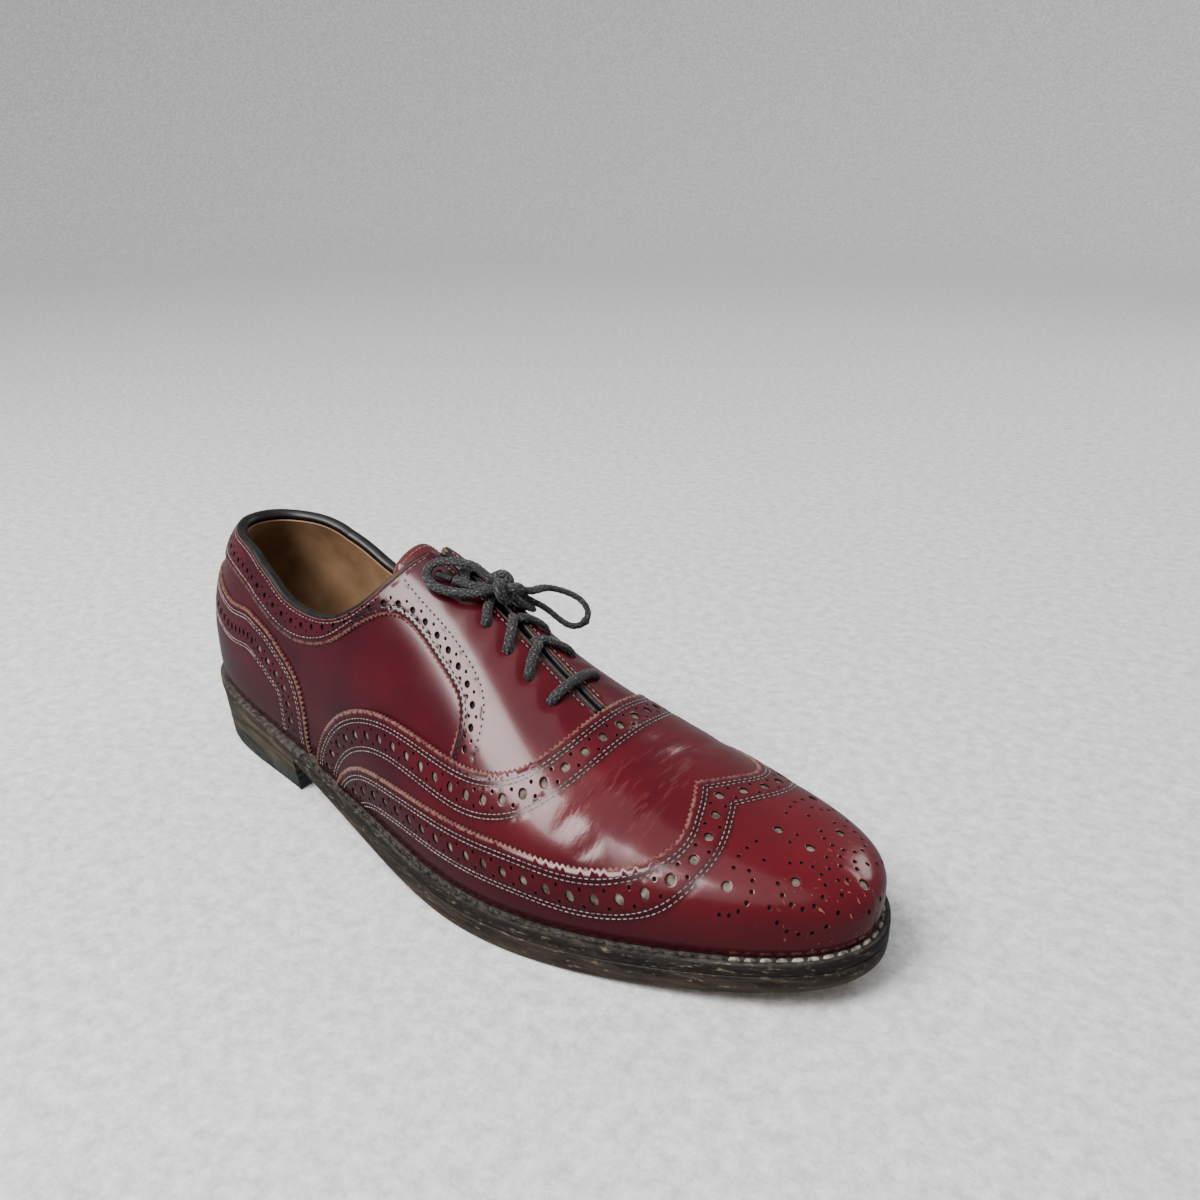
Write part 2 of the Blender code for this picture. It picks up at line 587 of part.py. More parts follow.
def build_counter(mats):
    trim = 2.4
    lateral = above_feather(through(half(COUNTER_EDGE, -1), 7.0), -1, trim + 2)
    medial = above_feather(through(half(COUNTER_EDGE, 1), 7.0), 1, trim + 2)
    foot = np.vstack([LAST.feather_run(-1, 33.0, -200, trim), LAST.feather_run(1, -200, 33.0, trim)[1:]])
    outline = oriented(np.vstack([medial[::-1], lateral[1:], foot]))
    panel("heel_counter_overlay", outline, OVERLAY, mats["leather"])
    top = [(-50, 0), (-42, 26), (-20, 46), (5, 56), (26, 66), (38, 84)]
    edge_l, edge_m = through(half(top, -1), 5.5), through(half(top, 1), 5.5)
    foot = np.vstack([LAST.feather_run(-1, 39.0, -200, trim), LAST.feather_run(1, -200, 39.0, trim)[1:]])
    outline = oriented(np.vstack([edge_m[::-1], edge_l[1:], foot]))
    panel("heel_stiffener", outline, STIFFENER, mats["board"])


def full_line(points, spacing):
    """Lateral pattern line, carried over the ridge to the medial side."""
    lateral = above_feather(through(half(points, -1), spacing), -1, 5.0)
    medial = above_feather(through(half(points, 1), spacing), 1, 5.0)[::-1]
    return np.vstack([lateral, medial[1:]])


def build_vamp(mats):
    edge = full_line(VAMP_EDGE, 7.0)
    trim = 2.4
    reach = np.linspace(-95, 95, 39)

    def between(line, lean, shift, foot_trim):
        """Close a region between a line and the cut at the flex, along both feather lines."""
        cut = LAST.cut_run(lean, shift, reach)
        low_l = LAST.feather_run(-1, 0, 275, foot_trim, 2.0)
        low_m = LAST.feather_run(1, 0, 275, foot_trim, 2.0)
        limit_l = np.interp(cut[:, 0], low_l[:, 0], low_l[:, 1])
        limit_m = np.interp(cut[:, 0], low_m[:, 0], low_m[:, 1])
        return cut[(cut[:, 1] > limit_l + 1.0) & (cut[:, 1] < limit_m - 1.0)]
    rear_cut = between(edge, 0.0, -0.5, trim)
    foot_l = LAST.feather_run(-1, rear_cut[0, 0], edge[0, 0], trim)
    foot_m = LAST.feather_run(1, edge[-1, 0], rear_cut[-1, 0], trim)
    outline = oriented(np.vstack([edge, foot_m, rear_cut[::-1], foot_l]))
    panel("vamp_rear", outline, OVERLAY, mats["leather"])
    inner = push(edge, -0.6)
    inner = inner[inner[:, 0] < rear_cut[:, 0].min() - 1.0]
    foot_l = LAST.feather_run(-1, rear_cut[0, 0], inner[0, 0], 1.5)
    foot_m = LAST.feather_run(1, inner[-1, 0], rear_cut[-1, 0], 1.5)
    outline = oriented(np.vstack([inner, foot_m, rear_cut[::-1], foot_l]))
    panel("vamp_lining_rear", outline, LINING, mats["lining"])

    crease_rear = between(edge, 0.0, 0.3, trim)
    crease_front = between(edge, FLEX_LEAN, 0.3, trim)
    foot_m = LAST.feather_run(1, crease_rear[-1, 0], crease_front[-1, 0], trim)
    foot_l = LAST.feather_run(-1, crease_front[0, 0], crease_rear[0, 0], trim)
    outline = oriented(np.vstack([crease_rear, foot_m, crease_front[::-1], foot_l]))
    panel("vamp_crease", outline, OVERLAY, mats["leather"])

    front = between(edge, FLEX_LEAN, 1.0, trim)
    nose = [(222, -44), (226, -26), (222, -8), (219, 0), (222, 8), (226, 26), (222, 44)]
    outline = oriented(np.vstack([front[:-1], straight([front[-1]] + nose[::-1] + [front[0]], 5.0)[:-1]]))
    panel("vamp_forepart", outline, OVERLAY, mats["leather"])

    lining_front = between(edge, FLEX_LEAN, 1.0, 1.5)
    toe = np.vstack([LAST.feather_run(1, lining_front[-1, 0], 400, 1.5),
                     LAST.feather_run(-1, 400, lining_front[0, 0], 1.5)[1:]])
    panel("vamp_lining_forepart", oriented(np.vstack([lining_front, toe])), LINING, mats["lining"])
    middle_rear = between(edge, 0.0, 0.3, 1.5)
    middle_front = between(edge, FLEX_LEAN, 0.3, 1.5)
    panel("vamp_lining_crease", oriented(np.vstack([middle_rear, middle_front[::-1]])), LINING,
          mats["lining"])


def wing_cut(side, lean, shift, trim):
    """The flex cut across one side of the wingtip, from its gimped edge to the feather line."""
    reach = np.linspace(30, 95, 40) * side
    cut = LAST.cut_run(lean, shift, reach)
    edge = through(half(WING_EDGE, side), 2.0)[:-12]
    low = LAST.feather_run(side, 0, 275, trim, 2.0)
    upper = np.abs(np.interp(cut[:, 0], edge[:, 0], edge[:, 1]))
    lower = np.abs(np.interp(cut[:, 0], low[:, 0], low[:, 1]))
    q = np.abs(cut[:, 1])
    return cut[(q > upper + 0.3) & (q < lower - 0.8)][::3]


def build_wing(side, name, mats):
    trim = 3.2
    edge = above_feather(through(half(WING_EDGE, side), 7.0), side, trim + 2)
    cut = wing_cut(side, 0.0, -0.5, trim)
    tail = edge[edge[:, 0] < cut[0, 0] - 2]
    foot = LAST.feather_run(side, cut[-1, 0] - 1, edge[0, 0] - 1, trim)
    panel(f"wing_{name}", oriented(np.vstack([tail, cut, foot])), CAP, mats["leather"])
    rear, front = wing_cut(side, 0.0, 0.3, trim), wing_cut(side, FLEX_LEAN, 0.3, trim)
    panel(f"wing_crease_{name}", oriented(np.vstack([rear, front[::-1]])), CAP, mats["leather"])


def build_toe(mats):
    trim = 3.2
    edge = full_line(WING_EDGE, 7.0)
    cut_l, cut_m = wing_cut(-1, FLEX_LEAN, 1.0, trim), wing_cut(1, FLEX_LEAN, 1.0, trim)
    middle = edge[edge[:, 0] > max(cut_l[0, 0], cut_m[0, 0]) + 2]
    toe = np.vstack([LAST.feather_run(1, cut_m[-1, 0] + 1, 400, trim),
                     LAST.feather_run(-1, 400, cut_l[-1, 0] + 1, trim)[1:]])
    outline = oriented(np.vstack([cut_l[::-1], middle, cut_m, toe]))
    panel("wingtip_toe_cap", outline, CAP, mats["leather"])
    back = through([(238, -38), (242, -22), (244, 0), (242, 22), (238, 38)], 8.0)
    front = np.vstack([LAST.feather_run(1, 236, 400, 2.0), LAST.feather_run(-1, 400, 236, 2.0)[1:]])
    panel("toe_puff", oriented(np.vstack([back, front])), STIFFENER, mats["board"])


def build_tongue(mats):
    edge = [(66, 2), (67, 12), (71, 21), (80, 25), (105, 24), (135, 21), (158, 17)]
    lateral, medial = through(half(edge, -1), 8.0), through(half(edge, 1), 8.0)
    outline = oriented(np.vstack([medial[::-1], lateral]))
    panel("tongue", outline, TONGUE, mats["leather"])


def build_binding(mats):
    """Rolled edge round the opening, from one facing corner round the heel to the other."""
    lateral = push(through(half(TOPLINE, -1), 5.0), 1.9)[::-1]
    medial = push(through(half(TOPLINE, 1), 5.0), -1.9)
    line = np.vstack([lateral[:-1], medial])
    path = LAST.lift(line, -1.2)
    tube("topline_binding", path, 1.3, mats["lace"], 6)


# ---------------------------------------------------------------- lace
EYELETS = [(124.8, 11.2), (136.8, 12.2), (148.5, 12.6)]
LACE_LIFT = 2.0


def lace_strand(start, end, bump):
    """Path over the skin between two pattern points, humped in the middle."""
    count = 9
    t = np.linspace(0, 1, count)
    line = np.array(start) + (np.array(end) - np.array(start)) * t[:, None]
    lift = LACE_LIFT + bump * np.sin(math.pi * t)
    return LAST.lift(line, lift[:, None])


def build_lace(mats):
    black = mats["lace"]
    for number, (p, q) in enumerate(EYELETS[:-1], 4):
        ahead = 7.5
        left = lace_strand((p, -q), (p - ahead, 4.5), 0.2)
        right = lace_strand((p, q), (p - ahead, -4.5), 1.5)
        first = tube(f"lace_row_{number}", left, LACE_RADIUS, black)
        second = tube(f"lace_row_{number}_over", right, LACE_RADIUS, black)
        second.hide_render = True
        second.display_type = "WIRE"
        union = first.modifiers.new("union", "BOOLEAN")
        union.operation = "UNION"
        union.object = second
    p, q = EYELETS[-1]
    tube("lace_bar", lace_strand((p, -q), (p, q), 1.0), LACE_RADIUS, black)
    build_bow(black)


def cord(name, path, radius, mat):
    """Round cord along a path in millimetres, as a curve with filled ends."""
    curve = bpy.data.curves.new(name, "CURVE")
    curve.dimensions = "3D"
    line = curve.splines.new("POLY")
    line.points.add(len(path) - 1)
    for point, spot in zip(line.points, np.asarray(path) * MM):
        point.co = (*spot, 1.0)
    curve.bevel_depth = radius * MM
    curve.bevel_resolution = 2
    curve.use_fill_caps = True
    curve.materials.append(mat)
    obj = bpy.data.objects.new(name, curve)
    bpy.context.collection.objects.link(obj)
    return obj


def build_bow(black):
    """Knot, two loops, two ends and their tips, lying on the facings."""
    centre = LAST.lift([KNOT[:2]], KNOT[2])[0]
    turn = np.linspace(0, 2 * math.pi, 9)[:-1]
    rings = [(-3.6, 2.0), (-2.2, 3.4), (0.0, 3.9), (2.2, 3.4), (3.6, 2.0)]
    points, faces = [], []
    for z, r in rings:
        points += [centre + (r * 1.1 * math.cos(a), r * 1.3 * math.sin(a), z) for a in turn]
    for i in range(len(rings) - 1):
        for k in range(8):
            a, b = i * 8 + k, i * 8 + (k + 1) % 8
            faces.append((a, b, b + 8, a + 8))
    faces += [tuple(reversed(range(8))), tuple(range(len(points) - 8, len(points)))]
    make("lace_knot", points, faces, black)
    for name, route in BOW_ROUTES.items():
        path = through([LAST.lift([(p, q)], h)[0] for p, q, h in route], 3.6)
        cord(name, path, BOW_RADIUS, black)
        if name.startswith("lace_end"):
            direction = path[-1] - path[-2]
            direction /= np.linalg.norm(direction)
            tip = [path[-1] + direction * (BOW_RADIUS * 0.3 + s) for s in (0.3, 2.0, 4.0, TIP_LENGTH)]
            tube(name.replace("lace_end", "aglet"), tip, 1.0, black)


# the knot and the routes from it over the facings: pattern p, pattern q, height above the skin
BOW_RADIUS = 1.25
TIP_LENGTH = 6.0
KNOT = (108.0, 1.0, 5.6)
BOW_ROUTES = {
    "lace_loop_lateral": [(102.5, -1.5, 6.5), (97, -2, 7), (91, -4.5, 6), (86.5, -7.5, 5), (84.3, -10.5, 4.1),
                          (85.3, -13.3, 3.4), (90, -14.5, 3.3), (96.5, -12, 3.3), (101.5, -8.8, 3.8),
                          (104.5, -6, 4.6)],
    "lace_loop_medial": [(111.5, 7.5, 6.8), (112, 12, 10.4), (114.5, 15, 13.2), (119.5, 16.8, 15.2),
                         (124.5, 17.8, 15.2), (127.8, 18.6, 13), (128.2, 19, 9.8), (126, 18.6, 6.6),
                         (121.5, 17, 5.4), (115.5, 13.5, 5.1), (111.5, 9.5, 4)],
    "lace_end_lateral": [(101.3, -4.6, 3.4), (97, -6.8, 2.7), (93.5, -8.2, 2.5)],
    "lace_end_medial": [(113.6, 4.3, 2.6), (114.8, 9, 2.2), (112.4, 13.4, 2.2), (107.5, 17, 2.4), (101, 20, 2.6),
                        (95, 22, 2.6), (89, 23, 2.6)],
}


# ---------------------------------------------------------------- whole shoe
def centre_on_origin():
    """Put the middle of the box at x = y = 0, with the ground at z = 0."""
    bpy.context.view_layer.update()
    shown = [o for o in bpy.data.objects if not o.hide_render]
    graph = bpy.context.evaluated_depsgraph_get()
    corners = []
    for obj in shown:
        if obj.name.startswith(("lace", "aglet")):
            continue
        mesh = obj.evaluated_get(graph).to_mesh()
        spots = np.empty(len(mesh.vertices) * 3, dtype=np.float32)
        mesh.vertices.foreach_get("co", spots)
        corners += [spots.reshape(-1, 3).min(0), spots.reshape(-1, 3).max(0)]
    low, high = np.min(corners, 0), np.max(corners, 0)
    shift = Vector((-(low[0] + high[0]) / 2, -(low[1] + high[1]) / 2, -low[2]))
    for obj in bpy.data.objects:
        obj.location = obj.location + shift
    print("shift", tuple(round(s, 5) for s in shift), "box", low, high)


def main():
    for obj in list(bpy.data.objects):
        bpy.data.objects.remove(obj)
    mats = {
        "leather": material("burgundy_leather", (0.19, 0.018, 0.025), 0.22),
        "lining": material("tan_lining", (0.45, 0.27, 0.13), 0.65),
        "board": material("stiffener_board", (0.42, 0.31, 0.2), 0.8),
        "sole": material("sole_leather", (0.07, 0.045, 0.03), 0.6),
        "welt": material("welt_leather", (0.05, 0.035, 0.025), 0.6),
        "heel": material("heel_leather", (0.08, 0.055, 0.035), 0.55),
        "rubber": material("top_lift_rubber", (0.02, 0.025, 0.022), 0.6),
        "brass": material("nail_brass", (0.5, 0.36, 0.15), 0.35, 1.0),
        "steel": material("shank_steel", (0.45, 0.45, 0.46), 0.3, 1.0),
        "insole": material("insole_leather", (0.5, 0.33, 0.18), 0.7),
        "sock": material("sock_leather", (0.42, 0.26, 0.14), 0.6),
        "cork": material("cork", (0.4, 0.25, 0.13), 0.9),
        "lace": material("black_lace", (0.012, 0.012, 0.013), 0.7),
    }
    build_sole(mats)
    build_upper(mats)
    build_lace(mats)
    centre_on_origin()


main()
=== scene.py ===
"""Looks of the wingtip oxford shoe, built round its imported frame.

Working units are millimetres in the shoe's own plan (x = 0 at the heel back, y = 0 on the ridge's line,
z = 0 on the ground) until an object is made; make() turns them into the frame's metres.

The upper's pieces are cut from a flat pattern laid on the last. A pattern point (p, q) has p along the
ridge of the last and q out from the ridge along the skin: negative lateral, positive medial. Behind
HEEL_X and in front of TOE_X the pattern fans out round the ends of the ridge.
"""
import math

import bpy
import numpy as np
from mathutils import Matrix, Vector
from mathutils.geometry import delaunay_2d_cdt
from mathutils.kdtree import KDTree


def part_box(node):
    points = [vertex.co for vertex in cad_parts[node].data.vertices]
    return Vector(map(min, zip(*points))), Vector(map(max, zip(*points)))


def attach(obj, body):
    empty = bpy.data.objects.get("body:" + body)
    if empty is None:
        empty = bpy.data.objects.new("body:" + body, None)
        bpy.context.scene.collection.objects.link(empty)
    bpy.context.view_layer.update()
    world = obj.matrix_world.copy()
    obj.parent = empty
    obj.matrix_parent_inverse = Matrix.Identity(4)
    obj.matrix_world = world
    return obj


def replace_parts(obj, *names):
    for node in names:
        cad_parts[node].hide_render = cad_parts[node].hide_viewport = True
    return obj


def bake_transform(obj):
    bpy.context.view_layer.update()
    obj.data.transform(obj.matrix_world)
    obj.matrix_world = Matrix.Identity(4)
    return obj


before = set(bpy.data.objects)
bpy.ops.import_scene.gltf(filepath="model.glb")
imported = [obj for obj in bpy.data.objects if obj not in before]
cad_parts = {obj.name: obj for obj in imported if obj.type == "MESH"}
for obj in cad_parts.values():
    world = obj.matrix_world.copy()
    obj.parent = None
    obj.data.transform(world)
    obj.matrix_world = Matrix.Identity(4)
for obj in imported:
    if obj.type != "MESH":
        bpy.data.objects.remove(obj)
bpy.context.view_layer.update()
MM = 0.001

# ---------------------------------------------------------------- shape of the sole and the last (mm)
SOLE_LENGTH = 304.5
LATERAL_EDGE = [(0, -1), (4, -15), (20, -26), (50, -32.5), (85, -38), (125, -46.5), (165, -54),
                (200, -54.5), (232, -47.5), (262, -37), (285, -25.5), (299, -13), (SOLE_LENGTH, 2)]
MEDIAL_EDGE = [(300, 18.5), (288, 31), (265, 42), (238, 49.5), (210, 51), (180, 44), (145, 32),
               (110, 27), (80, 29.5), (50, 32.5), (20, 28), (4, 15)]
SOLE_BOTTOM = [(0, 24.0), (40, 19.5), (76, 14.5), (100, 10.6), (125, 7.2), (150, 3.6), (175, 0.6),
               (198, 0), (225, 0.6), (250, 2.8), (275, 5.8), (305, 9.3)]
OUTSOLE_THICK = [(0, 4.0), (76, 4.2), (104, 5.2), (130, 6.2), (305, 6.2)]
EDGE_THICK = [(0, 5.6), (76, 6.0), (104, 8.0), (130, 10.0), (305, 10.2)]
WELT_WIDTH = [(0, 2.6), (70, 3.0), (105, 4.6), (140, 5.6), (200, 6.0), (300, 6.0)]
HEEL_X, TOE_X = 52.0, 258.0
RIDGE_Z = [(52, 112), (90, 112), (115, 108.5), (135, 102.3), (160, 90), (185, 74.5), (205, 63),
           (232, 51), (248, 46.3), (258, 44)]
RIDGE_Y = [(52, 1), (135, -0.5), (185, -1.5), (232, -1), (258, 0.5)]
WIDEST_RISE = [(3, 19), (30, 18), (75, 18), (110, 17), (150, 14), (200, 13), (250, 12), (300, 11)]
OVERHANG = {-1: [(3, 1.6), (30, 1.2), (75, 1.0), (110, 0.5), (150, 1.0), (200, 2.5), (250, 2.2),
                 (300, 2.0)],
            1: [(3, 1.6), (30, 1.8), (75, 3.5), (110, 5.0), (150, 3.0), (200, 0.5), (250, 0.8),
                (300, 1.6)]}
FULLNESS_TOP = [(3, .60), (60, .70), (100, .74), (130, .60), (160, .5), (200, .52), (240, .56),
                (300, .58)]
FULLNESS_SIDE = [(3, .44), (60, .48), (100, .50), (130, .42), (160, .38), (200, .46), (240, .56),
                 (300, .62)]
HEEL_BREAST_X = 76.0
TOP_LIFT_THICK = 5.5
HEEL_TAPER = 0.93

# ---------------------------------------------------------------- pattern lines of one half (mm)
TOPLINE = [(-37.5, 0), (-36.3, 9), (-31, 18.5), (-18.5, 27.5), (-4.5, 34.5), (9, 41), (19, 46.3),
           (32.5, 49.3), (46.8, 48), (57, 42.8), (64.7, 35), (70.3, 26), (74.6, 15), (77, 5.5)]
BAND_EDGE = [(-50, 0), (-48, 14), (-41, 26), (-30, 35.5), (-18, 43), (0, 51), (12.6, 57.3), (25.4, 61),
             (36.3, 60.6), (52.2, 54.2), (62, 45.5), (70.5, 37), (77, 32), (83, 30), (91, 30), (101, 31.8),
             (111.6, 33.8), (118.5, 36), (122.5, 41), (124, 49), (124.5, 56)]
BAND_HOLES = [(129.5, 46), (128, 38), (124.5, 33), (119.5, 30), (113, 28), (106.5, 26.6), (93, 25.2),
              (86, 25.2), (79.5, 26.8), (73, 30.5), (66.5, 36.5), (61, 42), (55, 47), (48, 50.6), (35, 54),
              (21, 53), (4, 46), (-13, 38.5), (-28, 30), (-39, 15), (-42.5, 0)]
FACING_ROW = [(76.5, 18.5), (86.7, 20.4), (98.5, 21.4), (109, 22.6), (118.4, 24.6), (126, 27.7),
              (130.1, 31.8), (132.5, 37.3), (134.3, 46)]
COUNTER_EDGE = [(-61, 0), (-57, 18), (-47, 36), (-33, 48.3), (-9.2, 55.6), (9, 61.4), (20.3, 69),
                (28.2, 76), (31.9, 84), (33, 93.5), (32.8, 112)]
STIFFENER_EDGE = [(-50, 0), (-42, 26), (-20, 46), (5, 56), (26, 66), (38, 84), (43, 98), (46, 112)]
VAMP_EDGE = [(39, 114), (42, 104), (49, 91), (62, 77), (76, 67.6), (89, 62), (105.4, 57.3), (121, 53.3),
             (133, 49.6), (145, 43.6), (153, 36.7), (158.5, 27), (161.5, 14), (162.3, 0)]
WING_EDGE = [(52, 115), (57, 107), (65.5, 97), (76, 89.4), (89, 83.5), (106, 77), (128, 69.2), (147, 62.2),
             (164, 55.8), (178.5, 50.5), (191, 44.5), (200.5, 38), (207.2, 31), (210.2, 22.5),
             (208, 13.5), (204.6, 5.5), (201.4, 0)]
EYELETS = [(86.4, 8.2), (99.3, 8.8), (112.4, 10.2), (124.8, 11.2), (136.8, 12.2), (148.5, 12.6)]
SLIT_HALF, SLIT_START, SLIT_END = 2.6, 77.0, 161.0

# heights of the outer faces over the last's skin, and leather thickness (mm)
QUARTER_H, BAND_H, VAMP_H, WING_H = -1.3, -0.1, 1.0, 2.0
LEATHER = 1.15
LINING_H, LINING_THICK = -4.6, 0.9
STIFFENER_H, STIFFENER_THICK = -2.8, 1.3
TONGUE_H, TONGUE_THICK = -6.0, 1.8
TUCK = 2.6                                    # how far the upper runs on below the feather line
BACK_SEAM = 0.15                              # gap from the middle to each quarter at the back
FAR = 400                                     # beyond either end of the pattern

# rows along a gimped edge: distances in from it (mm)
EDGE_ROWS = (2.5, 3.8)
HOLE_ROW = 7.7
INNER_ROWS = (11.6, 12.9)
BIG_HOLE, SMALL_HOLE, SMALL_APART = 1.65, 0.6, 2.3
STITCH_PITCH, STITCH_LENGTH, STITCH_RADIUS = 2.15, 1.5, 0.22
GIMP_PITCH, GIMP_DEPTH = 2.1, 0.9
ROW_POINTS = 1.1                              # between the mesh points that carry a row of stitches
MEDALLION_BIG, MEDALLION_SMALL = 1.5, 0.62


# ---------------------------------------------------------------- curves and tables
def spline(knots, values, at):
    """Natural cubic spline through values at the knots."""
    x = np.asarray(knots, float)
    y = np.asarray(values, float).reshape(len(x), -1)
    count, h = len(x), np.diff(x)
    lhs, rhs = np.eye(count), np.zeros_like(y)
    for i in range(1, count - 1):
        lhs[i, i - 1:i + 2] = h[i - 1], 2 * (h[i - 1] + h[i]), h[i]
        rhs[i] = 6 * ((y[i + 1] - y[i]) / h[i] - (y[i] - y[i - 1]) / h[i - 1])
    m = np.linalg.solve(lhs, rhs)
    at = np.asarray(at, float)
    k = np.clip(np.searchsorted(x, at) - 1, 0, count - 2)
    w, t = h[k][..., None], (at - x[k])[..., None]
    out = (y[k] + t * ((y[k + 1] - y[k]) / w - w * (2 * m[k] + m[k + 1]) / 6)
           + t ** 2 * m[k] / 2 + t ** 3 * (m[k + 1] - m[k]) / (6 * w))
    return out[..., 0] if np.ndim(values[0]) == 0 else out


def profile(pairs, x):
    knots, values = zip(*pairs)
    return spline(knots, values, np.clip(x, knots[0], knots[-1]))


def run_of(points):
    """Length along a line at each of its points."""
    return np.r_[0, np.cumsum(np.linalg.norm(np.diff(points, axis=0), axis=1))]


def read_at(line, run, at):
    """Points of a line at the given lengths along it."""
    return np.stack([np.interp(at, run, column) for column in np.asarray(line).T], axis=1)


def unit(vectors):
    return vectors / np.linalg.norm(vectors, axis=1)[:, None]


def through(points, spacing):
    """Smooth open curve through points, read about every `spacing`."""
    pts = np.array(points, float)
    run = run_of(pts)
    return even(spline(run, pts, np.linspace(0, run[-1], 40 * len(pts))), spacing)


def even(line, spacing):
    """The same line with points at an even spacing."""
    run = run_of(line)
    count = max(2, int(round(run[-1] / spacing)) + 1)
    return read_at(line, run, np.linspace(0, run[-1], count))


def smooth_loop(points, count):
    pts = np.array(points, float)
    wrapped = np.vstack([pts[-4:], pts, pts[:4]])
    run = np.r_[0, np.cumsum(np.linalg.norm(np.diff(wrapped, axis=0), axis=1) ** 0.5)]
    return spline(run, wrapped, np.linspace(run[4], run[4 + len(pts)], count, endpoint=False))


def inset(outline, distance):
    """Move a counter-clockwise outline inwards."""
    tangent = np.roll(outline, -1, 0) - np.roll(outline, 1, 0)
    inward = unit(np.c_[-tangent[:, 1], tangent[:, 0]])
    return outline + inward * np.reshape(distance, (-1, 1))


def push(line, distance):
    """Line moved sideways, to its left, keeping its points."""
    tangent = np.gradient(line, axis=0)
    left = unit(np.c_[-tangent[:, 1], tangent[:, 0]])
    return line + left * np.reshape(distance, (-1, 1))


OUTLINE = smooth_loop(LATERAL_EDGE + MEDIAL_EDGE, 720)
FEATHER = inset(OUTLINE, profile(WELT_WIDTH, OUTLINE[:, 0]))
SOLE_LOW = Vector(np.min([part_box("outsole_rear")[0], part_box("outsole_forepart")[0]], axis=0))
ORIGIN = np.array([SOLE_LOW.x, SOLE_LOW.y - OUTLINE[:, 1].min() * MM, 0.0])


def sole_bottom(x):
    return profile(SOLE_BOTTOM, x)


def sole_top(x):
    return sole_bottom(x) + profile(OUTSOLE_THICK, x)


def feather_z(x):
    return sole_bottom(x) + profile(EDGE_THICK, x)


def place(points):
    """Points in millimetres on the shoe, as points in the frame."""
    return np.asarray(points, float) * MM + ORIGIN


